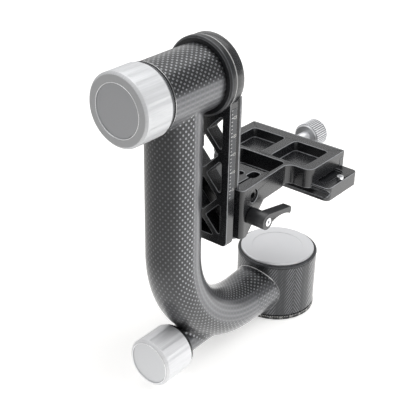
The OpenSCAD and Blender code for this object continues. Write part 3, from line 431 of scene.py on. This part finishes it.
def flanks(tree, place):
    """Masks for painted light, from facing and height: a painted sheen (the outer flanks), and
    painted shade without glints (the faces towards -X, and low faces not turned up).
    """
    facing = add(tree, "SeparateXYZ", {0: add(tree, "TexCoord").outputs["Normal"]}).outputs
    height = add(tree, "SeparateXYZ", {0: place}).outputs["Z"]
    limits = {"From Min": 30 * MM, "From Max": 190 * MM, "To Min": 0.78, "To Max": 0.34}
    limit = add(tree, "MapRange", {"Value": height, **limits}).outputs[0]
    above = add(tree, "Math", {0: facing["Z"], 1: limit}, operation="SUBTRACT").outputs[0]
    shares = {}
    for name, value, low, high, at_low, at_high in (
        ("sheen", above, -0.16, 0.04, 1.0, 0.0),
        ("side", facing["Y"], -0.75, -0.5, 1.0, 0.0),
        ("near", facing["X"], -0.14, -0.01, 0.0, 1.0),
        ("crest", facing["Y"], -0.35, -0.05, 0.0, 0.6),
        ("upward", facing["Z"], 0.2, 0.4, 0.0, 1.0),
        ("foot", height, 60 * MM, 105 * MM, 1.0, 0.0),
        ("far", facing["X"], -0.75, -0.45, 0.75, 0.0),
        ("under", facing["Z"], 0.1, 0.5, 0.5, 0.0),
    ):
        limits = {"From Min": low, "From Max": high, "To Min": at_low, "To Max": at_high}
        shares[name] = add(tree, "MapRange", {"Value": value, **limits}).outputs[0]
    for name, other, how in (
        ("sheen", "side", "MULTIPLY"),
        ("sheen", "near", "MULTIPLY"),
        ("crest", "upward", "MULTIPLY"),
        ("crest", "foot", "MULTIPLY"),
        ("sheen", "crest", "MAXIMUM"),
        ("under", "foot", "MULTIPLY"),
        ("far", "under", "MAXIMUM"),
    ):
        pair = {0: shares[name], 1: shares[other]}
        shares[name] = add(tree, "Math", pair, operation=how).outputs[0]
    return shares["sheen"], shares["far"]


def woven_carbon(name, twill, glint, coat):
    """Clear-coated woven carbon: dark tows with painted glints where they rise over each other, and
    a painted sheen on the flanks.
    """
    material, tree, shader, place = finish_named(name)
    weave = add(tree, "UVMap", uv_map="weave").outputs["UV"]
    axes = add(tree, "SeparateXYZ", {0: weave}).outputs
    u, v = axes["X"], axes["Y"]
    if twill:
        mirrored = add(tree, "Math", {0: u}, operation="ABSOLUTE").outputs[0]
        u = add(tree, "Math", {0: mirrored, 1: RIB_ACROSS, 2: v}, operation="MULTIPLY_ADD")
        u = u.outputs[0]
        v = add(tree, "Math", {0: mirrored, 1: RIB_SPREAD}, operation="MULTIPLY").outputs[0]
    waves = []
    for along in (u, v):
        scaled = add(tree, "Math", {0: along, 1: math.pi}, operation="MULTIPLY").outputs[0]
        waves.append(add(tree, "Math", {0: scaled}, operation="SINE").outputs[0])
    over = add(tree, "Math", {0: waves[0], 1: waves[1]}, operation="MULTIPLY").outputs[0]
    if twill:
        ribs = {0: waves[0], 1: RIB_LIFT, 2: over}
        over = add(tree, "Math", ribs, operation="MULTIPLY_ADD").outputs[0]
        breaks = {"Vector": place, "Scale": 1 / (BREAK_MM * MM), "Detail": 2.0}
        broken = add(tree, "TexNoise", breaks)
        pair = {0: broken.outputs["Fac"], 1: over}
        over = add(tree, "Math", pair, operation="MULTIPLY").outputs[0]
    low, high = (-0.1, 0.6) if twill else (0.28, 0.92)
    limits = {"From Min": low, "From Max": high}
    glint_crown = add(tree, "MapRange", {"Value": over, **limits}, interpolation_type="SMOOTHSTEP")
    # Glints are left out where the masks say, as painted shade, and the painted sheen takes their
    # place on the flanks.
    sheen, far = flanks(tree, place)
    hidden = add(tree, "Math", {0: sheen, 1: far}, operation="MAXIMUM").outputs[0]
    share = 0.0 if twill else PAINTED_SHEEN_SHARE
    shown = {0: hidden, 1: -share, 2: 1.0}
    shown = add(tree, "Math", shown, operation="MULTIPLY_ADD").outputs[0]
    pair = {0: glint_crown.outputs[0], 1: shown}
    glint_crown = add(tree, "Math", pair, operation="MULTIPLY").outputs[0]
    fibre = add(tree, "TexNoise", {"Vector": place, "Scale": 1 / (FIBRE_MM * MM), "Detail": 3.0})
    clouds = {"Vector": place, "Scale": 1 / (CARBON_CLOUD_MM * MM), "Detail": 2.0}
    cloud = add(tree, "TexNoise", clouds)
    colours = {"Color1": linear(CARBON_DARK), "Color2": linear(CARBON_CLOUD)}
    ground = add(tree, "MixRGB", {"Fac": cloud.outputs["Fac"], **colours}).outputs[0]
    # The painted sheen: a paler grey with faint lines along the tows.
    line = add(tree, "MapRange", {"Value": waves[0], "From Min": -1.0, "From Max": 1.0})
    colours = {"Color1": linear(CARBON_SHEEN), "Color2": linear(CARBON_SHEEN_LINE)}
    sheen_tone = add(tree, "MixRGB", {"Fac": line.outputs[0], **colours}).outputs[0]
    sheen = add(tree, "Math", {0: sheen, 1: share}, operation="MULTIPLY").outputs[0]
    ground = add(tree, "MixRGB", {"Fac": sheen, "Color1": ground, "Color2": sheen_tone}).outputs[0]
    # Painted highlight: the glint colour on the crowns.
    tone = {"Fac": glint_crown, "Color1": ground, "Color2": linear(glint)}
    tone = add(tree, "MixRGB", tone).outputs[0]
    tone = {"Fac": FIBRE_SHARE, "Color1": tone, "Color2": fibre.outputs["Color"]}
    tone = add(tree, "MixRGB", tone, blend_type="MULTIPLY").outputs[0]
    gloss = add(tree, "MapRange", {"Value": glint_crown, "To Min": 0.42, "To Max": 0.26}).outputs[0]
    depth = add(tree, "Math", {0: shown, 1: 0.5}, operation="MULTIPLY").outputs[0]
    bump = {"Height": over, "Strength": depth, "Distance": WEAVE_DEPTH_MM * MM}
    bump = add(tree, "Bump", bump)
    fill(shader, {"Base Color": tone, "Metallic": 0.7, "Roughness": gloss})
    fill(shader, {"Normal": bump.outputs["Normal"], "Coat Weight": coat, "Coat Roughness": 0.2})
    return material


# The glint colours are painted highlights; the sleeve also gets the painted sheen, the twill does
# not.
sleeve = woven_carbon("clear_coated_carbon_sleeve", twill=False, glint="#a8aaae", coat=0.7)
shell_twill = woven_carbon("clear_coated_carbon_twill", twill=True, glint="#626366", coat=0.4)
arm = mesh_piece("carbon_arm", points, quads, sleeve, "yoke")
arm.data.materials.append(shell_twill)
corner_points = points[quads]
angles, lengths, part = weave_place(corner_points, corner_points.mean(1))
turns, rows = np.zeros(angles.shape), lengths / TOW_MM
for i, count in TOWS_ROUND.items():
    turns = np.where((part == i)[:, None], angles * count / (2 * math.pi), turns)
from_mirror = turned_near(angles - SHELL_MIRROR, 0)
from_mirror = turned_near(from_mirror, from_mirror[:, :1])
on_shell = (part == SHELL_PART)[:, None]
turns = np.where(on_shell, from_mirror * SHELL_R / SHELL_TOW_MM / 2, turns)
rows = np.where(on_shell, lengths / SHELL_TOW_MM / 2, rows)
layer = arm.data.uv_layers.new(name="weave")
layer.data.foreach_set("uv", np.stack([turns, rows], -1).reshape(-1).astype(np.float32))
arm.data.polygons.foreach_set("material_index", (part == SHELL_PART).astype(np.int32))
arm.data.normals_split_custom_set_from_vertices(slope_of(arm_distance, points).tolist())
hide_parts("base_shell", "lower_tube", "arm_bend", "lock_housing", "upright_tube", "top_tube")

# Bead of resin where the lower tube enters the base shell. Squeezed out when the arm is
# pressed and left glossy, it follows the seam round the tube as a thin raised line, with a
# painted highlight, near-white, towards its top.
BEAD_R = 0.5
BEAD_STEPS, BEAD_SIDES, SEAM_ROUNDS = 120, 8, 8
RESIN_CLOUD_MM = 5
RESIN, RESIN_CLOUD, RESIN_PAINTED_HIGHLIGHT = "#4a4b4d", "#6d6e71", "#f0f0f0"
HIGHLIGHT_LOW_MM, HIGHLIGHT_HIGH_MM = 33, 37
turn = np.linspace(0, 2 * math.pi, BEAD_STEPS + 1)[:-1]
level = np.zeros(BEAD_STEPS)
seam = np.stack([level - SHELL_R, level, level], 1)
for _ in range(SEAM_ROUNDS):
    radius = TUBE_R + (FLARE_R - TUBE_R) * (seam[:, 0] - BEND_X) / (FLARE_X - BEND_X)
    seam[:, 1] = radius * np.sin(turn)
    seam[:, 2] = LOWER_Z + radius * np.cos(turn)
    seam[:, 0] = -np.sqrt(SHELL_R**2 - seam[:, 1] ** 2)


def round_bead(name, path, out, radius, material, body, spread=1.0):
    """A bead along a closed path, with its outward directions; spread widens it sideways."""
    ahead = np.roll(path, -1, 0) - np.roll(path, 1, 0)
    ahead /= np.linalg.norm(ahead, axis=1)[:, None]
    across = np.cross(ahead, out)[:, None]
    rim = np.linspace(0, 2 * math.pi, BEAD_SIDES + 1)[:-1][None, :, None]
    offset = np.cos(rim) * out[:, None] + spread * np.sin(rim) * across
    points = path[:, None] + radius * offset
    faces = []
    for i in range(len(path)):
        near, far = BEAD_SIDES * i, BEAD_SIDES * ((i + 1) % len(path))
        for j in range(BEAD_SIDES):
            k = (j + 1) % BEAD_SIDES
            faces.append((near + j, near + k, far + k, far + j))
    return mesh_piece(name, points.reshape(-1, 3), faces, material, body)


resin, tree, shader, place = finish_named("glossy_resin")
clouds = {"Vector": place, "Scale": 1 / (RESIN_CLOUD_MM * MM), "Detail": 2.0}
cloud = add(tree, "TexNoise", clouds)
height = add(tree, "SeparateXYZ", {0: place}).outputs["Z"]
# Painted highlight: the bead turns near-white towards its top, by height.
limits = {"From Min": HIGHLIGHT_LOW_MM * MM, "From Max": HIGHLIGHT_HIGH_MM * MM}
crest = add(tree, "MapRange", {"Value": height, **limits}, interpolation_type="SMOOTHSTEP")
colours = {"Color1": linear(RESIN), "Color2": linear(RESIN_CLOUD)}
tone = add(tree, "MixRGB", {"Fac": cloud.outputs["Fac"], **colours})
colours = {"Color1": tone.outputs["Color"], "Color2": linear(RESIN_PAINTED_HIGHLIGHT)}
tone = add(tree, "MixRGB", {"Fac": crest.outputs[0], **colours})
fill(shader, {"Base Color": tone.outputs["Color"], "Roughness": 0.12, "IOR": 1.6})
fill(shader, {"Coat Weight": 1.0, "Coat Roughness": 0.05})
out = np.stack([seam[:, 0], seam[:, 1], level], 1) / SHELL_R
round_bead("resin_bead", seam, out, BEAD_R, resin, "yoke")

# Lock knobs. Turned from aluminium bar, fluted, then satin anodised silver; the disc in
# each face sits in a rim that the lathe left polished. The tilt knob's face is greyer.
TILT_FRONT, PAN_FRONT = -170.2, -146.6
TILT_RIM_R, PAN_RIM_R, RIM_BEAD_R = 16.45, 14.85, 0.25
TILT_FACE, PAN_FACE, POLISHED = "#c5c6c8", "#d9dadc", "#f2f3f4"
KNOB_EDGE_MM, FACE_DEPTH_MM, STREAK_DEPTH_MM = 0.45, 0.12, 0.05
STREAKS_ROUND, STREAKS_ALONG = 26.0, 30.0


def from_the_axis(tree, place, centre_z):
    """X, Y and Z of a place, measured from the X axis at this height."""
    centred = add(tree, "Mapping", {"Vector": place, "Location": (0, 0, -centre_z * MM)})
    return add(tree, "SeparateXYZ", {0: centred.outputs[0]}).outputs


def knob_finish(name, centre_z, front, face_colour, dark, light):
    """Satin silver sides with fine streaks along the knob, and another tone on its face."""
    material, tree, shader, place = finish_named(name)
    axes = from_the_axis(tree, place, centre_z)
    angle = add(tree, "Math", {0: axes["Z"], 1: axes["Y"]}, operation="ARCTAN2").outputs[0]
    angle = add(tree, "Math", {0: angle, 1: STREAKS_ROUND}, operation="MULTIPLY").outputs[0]
    along = add(tree, "Math", {0: axes["X"], 1: STREAKS_ALONG}, operation="MULTIPLY").outputs[0]
    streaks = add(tree, "CombineXYZ", {"X": angle, "Y": along}).outputs[0]
    streaks = add(tree, "TexNoise", {"Vector": streaks, "Scale": 1.0, "Detail": 4.0}).outputs[0]
    side = {"Fac": streaks, "Color1": linear(dark), "Color2": linear(light)}
    side = add(tree, "MixRGB", side).outputs["Color"]
    limit = (front + FACE_DEPTH_MM) * MM
    on_face = add(tree, "Math", {0: axes["X"], 1: limit}, operation="LESS_THAN").outputs[0]
    tone = {"Fac": on_face, "Color1": side, "Color2": linear(face_colour)}
    tone = add(tree, "MixRGB", tone).outputs["Color"]
    depth = {"Strength": 0.1, "Distance": STREAK_DEPTH_MM * MM}
    bump = add(tree, "Bump", {"Height": streaks, **depth})
    fill(shader, {"Base Color": tone, "Metallic": 0.45, "Roughness": 0.5})
    fill(shader, {"Normal": bump.outputs["Normal"]})
    return material


tilt_silver = ("satin_silver_tilt_knob", TILT_Z, TILT_FRONT, TILT_FACE, "#c9cacc", "#e3e4e6")
dress(knob_finish(*tilt_silver), "tilt_lock_knob")
pan_silver = ("satin_silver_pan_knob", LOWER_Z, PAN_FRONT, PAN_FACE, "#dcdddf", "#f6f6f8")
dress(knob_finish(*pan_silver), "pan_lock_knob")
# Painted highlight on the knobs' bevels: a near-white bevel colour.
highlight_edge_silver = worn_edge("painted_highlight_silver_edge", "#dcdddf", "#fafafa")
ease(KNOB_EDGE_MM, "tilt_lock_knob", "pan_lock_knob", edge=highlight_edge_silver, even=False)
polished = turned("polished_rim", POLISHED, rough=0.16, ring_mm=0.5)
out = np.stack([level, np.sin(turn), np.cos(turn)], 1)
for name, body, centre_z, front, radius in (
    ("tilt_face_rim", "tilt_knob", TILT_Z, TILT_FRONT, TILT_RIM_R),
    ("pan_face_rim", "pan_knob", LOWER_Z, PAN_FRONT, PAN_RIM_R),
):
    rim = out * radius + np.array([front, 0, centre_z])
    round_bead(name, rim, out, RIM_BEAD_R, polished, body)

# Lip of the end collar. The black collar behind the tilt knob laps over the end of the
# top tube, and a thin polished line closes it.
LIP_T, LIP_L = 0.6, 1.4
LIP_SUNK, LIP_PAST = 0.05, 0.3
LINE_R, LINE_BACK = 0.2, 0.4
lip = out * (TOP_R - LIP_SUNK) + np.array([TOP_X + LIP_L / 2 - LIP_PAST, 0, TILT_Z])
round_bead("collar_lip", lip, out, LIP_T, black, "yoke", spread=LIP_L / 2 / LIP_T)
line = out * (TOP_R + LINE_R) + np.array([TOP_X + LIP_L - LINE_BACK, 0, TILT_Z])
round_bead("collar_line", line, out, LINE_R, polished, "yoke")

# Face discs of the two knobs. Spun aluminium, anodised: grey in the tilt knob and silver in
# the pan knob. Rings soften the light; real ones are finer than the 0.5 mm drawn.
FACE_EDGE_MM = 0.3
SPUN_RING_MM, SPUN_DEPTH_MM = 0.5, 0.02
SPUN_SHARE = 0.88


def radius_round_axis(tree, place, centre_z):
    """How far a place lies from the X axis at this height."""
    axes = from_the_axis(tree, place, centre_z)
    flat = add(tree, "CombineXYZ", {"Y": axes["Y"], "Z": axes["Z"]}).outputs[0]
    return add(tree, "VectorMath", {0: flat}, operation="LENGTH").outputs["Value"]


def spun_face(name, colour, rough, centre_z):
    """A spun face: fine rings round the X axis at this height."""
    material, tree, shader, place = finish_named(name)
    line = add(tree, "CombineXYZ", {"X": radius_round_axis(tree, place, centre_z)}).outputs[0]
    rings = add(tree, "TexNoise", {"Vector": line, "Scale": 1 / (SPUN_RING_MM * MM), "Detail": 2.0})
    colours = {"Color1": linear(colour), "Color2": darker(colour, SPUN_SHARE)}
    tone = add(tree, "MixRGB", {"Fac": rings.outputs["Fac"], **colours})
    depth = {"Strength": 0.06, "Distance": SPUN_DEPTH_MM * MM}
    bump = add(tree, "Bump", {"Height": rings.outputs["Fac"], **depth})
    fill(shader, {"Base Color": tone.outputs["Color"], "Metallic": 0.9, "Roughness": rough})
    fill(shader, {"Normal": bump.outputs["Normal"]})
    return material


grey_face = spun_face("spun_grey_tilt_face", "#bbbcbf", rough=0.45, centre_z=TILT_Z)
dress(grey_face, "tilt_knob_disc")
silver_face = spun_face("spun_silver_pan_face", "#cdced0", rough=0.5, centre_z=LOWER_Z)
dress(silver_face, "pan_knob_disc")
ease(FACE_EDGE_MM, "tilt_knob_disc", "pan_knob_disc")

# Thin washer between the arm and the swing plate, round the tilt shaft. Moulded nylon,
# so it is off-white and matt, with a faint grain.
NYLON, NYLON_GRAIN, NYLON_GRAIN_MM = "#e2e1de", "#d3d2cf", 0.6
nylon, tree, shader, place = finish_named("moulded_nylon")
grain = add(tree, "TexNoise", {"Vector": place, "Scale": 1 / (NYLON_GRAIN_MM * MM)})
colours = {"Color1": linear(NYLON), "Color2": linear(NYLON_GRAIN)}
tone = add(tree, "MixRGB", {"Fac": grain.outputs["Fac"], **colours})
fill(shader, {"Base Color": tone.outputs["Color"], "Roughness": 0.5})
dress(nylon, "tilt_washer")

# Swing plate, bracket and jaw. Milled from aluminium plate, edges broken, bead blasted
# and anodised black: satin faces, with a painted highlight, a thin pale bevel colour, along every
# edge.
MILLED_EDGE_MM = 0.4
milled = black_anodised("black_anodised_milled", "#101113", rough=0.24)
dress(milled, "swing_plate", "bracket", "moving_jaw", "lens_plate")
ease(MILLED_EDGE_MM, "swing_plate", "bracket", "moving_jaw", "lens_plate", edge=highlight_edge_black)

# Height scale. A printed foil strip on the swing plate's edge: grey ground, a pale mark
# every 2.5 mm, a longer one every 12.5, and numbers from 5 to 25 beside those.
FOIL, FOIL_GRAIN, FOIL_MARK = "#2f3032", "#5a5c5f", "#d4d5d6"
STEP_MM, LONG_STEP_MM, LINE_MM, LONG_LINE_MM = 2.5, 12.5, 0.4, 0.5
FOIL_GRAIN_MM = 0.5
SCALE_LEFT, SHORT_RIGHT, LONG_RIGHT = -91.4, -90.0, -89.0
foil, tree, shader, place = finish_named("printed_silver_foil")
axes = add(tree, "SeparateXYZ", {0: place}).outputs
rows = (
    (STEP_MM, LINE_MM, SCALE_LEFT, SHORT_RIGHT),
    (LONG_STEP_MM, LONG_LINE_MM, SCALE_LEFT, LONG_RIGHT),
)
rows = [[length * MM for length in row] for row in rows]
inked = scale_of_marks(tree, axes["Z"], axes["X"], rows)
grain = add(tree, "TexNoise", {"Vector": place, "Scale": 1 / (FOIL_GRAIN_MM * MM)})
colours = {"Color1": linear(FOIL), "Color2": linear(FOIL_GRAIN)}
ground = add(tree, "MixRGB", {"Fac": grain.outputs["Fac"], **colours})
colours = {"Color1": ground.outputs["Color"], "Color2": linear(FOIL_MARK)}
tone = add(tree, "MixRGB", {"Fac": inked, **colours})
fill(shader, {"Base Color": tone.outputs["Color"], "Metallic": 0.3, "Roughness": 0.4})
dress(foil, "height_scale")

# Numbers on the height scale and on the degree ring. Printed in white ink, upright, in
# plain digits, as thin flat faces just clear of the surface.
NUMBER_X, NUMBER_Y, NUMBER_Z, NUMBER_SIZE = -87.6, -20.65, 124.8, 3.0
DEGREE_R, DEGREE_Z, DEGREE_SIZE = 30.03, 1.35, 1.9
INK_GRAIN_MM = 0.3
UP = (0, 0, 1)


def numerals(name, items, size, material, body):
    """Flat printed numbers: each item has its text, its middle, and its reading direction."""
    verts, faces = [], []
    for text, middle, reading in items:
        curve = bpy.data.curves.new(name, "FONT")
        curve.body, curve.size, curve.align_x, curve.align_y = text, size, "CENTER", "CENTER"
        holder = bpy.data.objects.new(name, curve)
        glyphs = bpy.data.meshes.new_from_object(holder)
        faces += [[i + len(verts) for i in face.vertices] for face in glyphs.polygons]
        for v in glyphs.vertices:
            verts.append(Vector(middle) + v.co.x * Vector(reading) + v.co.y * Vector(UP))
        bpy.data.objects.remove(holder)
    return mesh_piece(name, [tuple(v) for v in verts], faces, material, body)


ink, tree, shader, place = finish_named("white_printing_ink")
grain = add(tree, "TexNoise", {"Vector": place, "Scale": 1 / (INK_GRAIN_MM * MM)})
colours = {"Color1": linear(MARK), "Color2": linear(MARK_WORN)}
tone = add(tree, "MixRGB", {"Fac": grain.outputs["Fac"], **colours})
fill(shader, {"Base Color": tone.outputs["Color"], "Roughness": 0.5})
steps = []
for i in range(1, 6):
    steps.append((str(5 * i), (NUMBER_X, NUMBER_Y, NUMBER_Z + LONG_STEP_MM * i), (1, 0, 0)))
numerals("height_numerals", steps, NUMBER_SIZE, ink, "swing_arm")
degrees = []
for degree in range(0, 360, LONG_MARK_DEG):
    a = math.radians(degree)
    middle = (DEGREE_R * math.cos(a), DEGREE_R * math.sin(a), DEGREE_Z)
    degrees.append((str(degree), middle, (-math.sin(a), math.cos(a), 0)))
numerals("degree_numerals", degrees, DEGREE_SIZE, ink, "base")

# Side screw, deep in its counterbore in the bracket. Turned from steel with a black oxide
# finish, so it is nearly black and a little glossier than the anodised parts.
dress(black_anodised("black_oxide_steel", "#0b0b0c", rough=0.22), "side_screw")

# Clamp lever. Cast in zinc and powder coated black, so it is satin and even. A bright
# hexagon screw in its hub holds it.
BRIGHT = "#e4e5e7"
LEVER_EDGE_MM = 0.4
dress(black_anodised("black_powder_coat", "#17181a", rough=0.4), "clamp_lever")
dress(turned("bright_screw", BRIGHT, rough=0.22, ring_mm=0.5, direction="Y"), "lever_screw")
ease(LEVER_EDGE_MM, "clamp_lever")

# Clamp knob and the lens plate's stop screws. Knurled aluminium, left bright; each ridge is
# painted paler as a painted highlight and each groove darker as painted shade. Its neck is plain.
# The screws are bright steel.
KNURL_Z, GROOVE_R, RIDGE_R, NECK_R = 128.0, 9.8, 10.15, 9.5
KNURL_EDGE_MM = 0.12
KNURL_PAINTED_SHADE, KNURL_PAINTED_HIGHLIGHT, NECK, NECK_PALE = "#8c8d91", "#f4f5f7", "#c9cacd", "#eeeff1"
NECK_SMEAR_MM = 4
knurled, tree, shader, place = finish_named("bright_knurled_knob")
radius = radius_round_axis(tree, place, KNURL_Z)
limits = {"From Min": GROOVE_R * MM, "From Max": RIDGE_R * MM}
# Painted highlight on the knurl's ridges and painted shade in its grooves, by radius.
crest = add(tree, "MapRange", {"Value": radius, **limits}).outputs[0]
sides = {"Fac": crest, "Color1": linear(KNURL_PAINTED_SHADE), "Color2": linear(KNURL_PAINTED_HIGHLIGHT)}
sides = add(tree, "MixRGB", sides).outputs["Color"]
neck = add(tree, "Math", {0: radius, 1: NECK_R * MM}, operation="LESS_THAN").outputs[0]
smear = add(tree, "TexNoise", {"Vector": place, "Scale": 1 / (NECK_SMEAR_MM * MM), "Detail": 3.0})
colours = {"Color1": linear(NECK), "Color2": linear(NECK_PALE)}
plain = add(tree, "MixRGB", {"Fac": smear.outputs["Fac"], **colours}).outputs["Color"]
tone = add(tree, "MixRGB", {"Fac": neck, "Color1": sides, "Color2": plain})
fill(shader, {"Base Color": tone.outputs["Color"], "Metallic": 0.65, "Roughness": 0.3})
dress(knurled, "clamp_knob")
ease(KNURL_EDGE_MM, "clamp_knob", even=False)
stop_steel = turned("bright_stop_screw", BRIGHT, rough=0.2, ring_mm=0.5, direction="Z")
dress(stop_steel, "stop_screws")

# Studio floor. A matt white sweep, in metres. It glows a little for the camera, so that it
# stays white, and in reflections at one side and round the foot.
SWEEP, SWEEP_CLOUD = "#f3f2f0", "#f1f0ee"
FLOOR_SIZE, FLOOR_GLOW, FLOOR_TURN = 8, 0.49, math.radians(51)
FOOT_MIDDLE = (-0.10, -0.05, 0)
SWEEP_CLOUD_M = 0.5
floor_mat, tree, shader, place = finish_named("white_sweep")
ray = add(tree, "LightPath").outputs
clean = add(tree, "TexNoise", {"Vector": place, "Scale": 1 / SWEEP_CLOUD_M})
colours = {"Color1": linear(SWEEP), "Color2": linear(SWEEP_CLOUD)}
tone = add(tree, "MixRGB", {"Fac": clean.outputs["Fac"], **colours})
matt = add(tree, "BsdfDiffuse", {"Color": tone.outputs["Color"]})
side = add(tree, "Mapping", {"Vector": place, "Rotation": (0, 0, FLOOR_TURN)}).outputs[0]
side = add(tree, "SeparateXYZ", {0: side}).outputs["X"]
foot = add(tree, "VectorMath", {0: place, 1: FOOT_MIDDLE}, operation="DISTANCE").outputs["Value"]
glows = []
for value, low, high, at_low, at_high in (
    (side, -0.1, 0.25, 0.0, 0.8),
    (foot, 0.08, 0.3, 0.75, 0.0),
):
    limits = {"From Min": low, "From Max": high, "To Min": at_low, "To Max": at_high}
    glow = add(tree, "MapRange", {"Value": value, **limits}, interpolation_type="SMOOTHSTEP")
    glows.append(glow.outputs[0])
lit = add(tree, "Math", {0: glows[0], 1: glows[1]}, operation="ADD").outputs[0]
lit = add(tree, "Math", {0: ray["Is Glossy Ray"], 1: lit}, operation="MULTIPLY").outputs[0]
seen = {0: ray["Is Camera Ray"], 1: FLOOR_GLOW, 2: lit}
seen = add(tree, "Math", seen, operation="MULTIPLY_ADD").outputs[0]
glow = add(tree, "Emission", {"Strength": seen})
both = add(tree, "AddShader", {0: matt.outputs[0], 1: glow.outputs[0]})
fill(tree.nodes["Material Output"], {"Surface": both.outputs[0]})
bpy.ops.mesh.primitive_plane_add(size=FLOOR_SIZE)
floor = bpy.context.object
floor.name = "floor"
floor.data.materials.append(floor_mat)

# Room. Plain white where the camera sees it, dimmer as a light, and in reflections darker
# towards one side, as a black flag beside the set makes it.
ROOM_LIGHT = 0.27
FLAG_TOWARDS = (0.70, -0.50, 0.51)
world = bpy.data.worlds.new("studio")
bpy.context.scene.world = world
world.use_nodes = True
tree = world.node_tree
ray = add(tree, "LightPath").outputs
pair = {0: ray["Is Camera Ray"], 1: ray["Is Glossy Ray"]}
seen = add(tree, "Math", pair, operation="MAXIMUM").outputs[0]
pair = {0: seen, 1: ray["Is Transmission Ray"]}
seen = add(tree, "Math", pair, operation="MAXIMUM").outputs[0]
room = add(tree, "TexCoord").outputs["Generated"]
toward = add(tree, "VectorMath", {0: room, 1: FLAG_TOWARDS}, operation="DOT_PRODUCT")
limits = {"From Min": 0.5, "From Max": 0.92, "To Min": 0.85, "To Max": 0.4}
flag = {"Value": toward.outputs["Value"], **limits}
flag = add(tree, "MapRange", flag, interpolation_type="SMOOTHSTEP").outputs[0]
shown = add(tree, "Math", {0: ray["Is Camera Ray"], 1: flag}, operation="MAXIMUM").outputs[0]
strength = add(tree, "MapRange", {"Value": seen, "To Min": ROOM_LIGHT, "To Max": shown})
fill(tree.nodes["Background"], {"Color": (1, 1, 1, 1), "Strength": strength.outputs[0]})

# Soft boxes, in metres and watts. A key above the head, and a larger one at the camera's
# right that is kept out of reflections.
AIM = (-0.06, 0, 0.1)


def soft_box(name, place, size, power):
    """A square soft box at a place, turned to the head."""
    light = bpy.data.lights.new(name, "AREA")
    light.shape = "SQUARE"
    light.size = size
    light.energy = power
    lamp = bpy.data.objects.new(name, light)
    lamp.location = place
    lamp.rotation_euler = (Vector(AIM) - Vector(place)).to_track_quat("-Z", "Y").to_euler()
    bpy.context.scene.collection.objects.link(lamp)
    return lamp


soft_box("key", (0.1, 0.1, 1.2), size=1.4, power=8)
soft_box("side", (0.9, -1.15, 0.9), size=2.0, power=26).visible_glossy = False

# Camera, fitted to the circles of the base, tubes and knobs in the photograph: its lens,
# its place in metres, and its three axes.
LENS_MM = 81.23
STAND = (-0.5157, -0.3364, 0.4143)
RIGHT, UPWARD = (0.6252, -0.7802, 0.0195), (0.3637, 0.3134, 0.8772)
BACK = (-0.6905, -0.5413, 0.4797)
camera = bpy.data.objects.new("camera", bpy.data.cameras.new("camera"))
camera.data.lens = LENS_MM
turned_to = Matrix((RIGHT, UPWARD, BACK)).transposed().to_4x4()
camera.matrix_world = Matrix.Translation(STAND) @ turned_to
bpy.context.scene.collection.objects.link(camera)
bpy.context.scene.camera = camera
bpy.context.scene.view_settings.view_transform = "Standard"
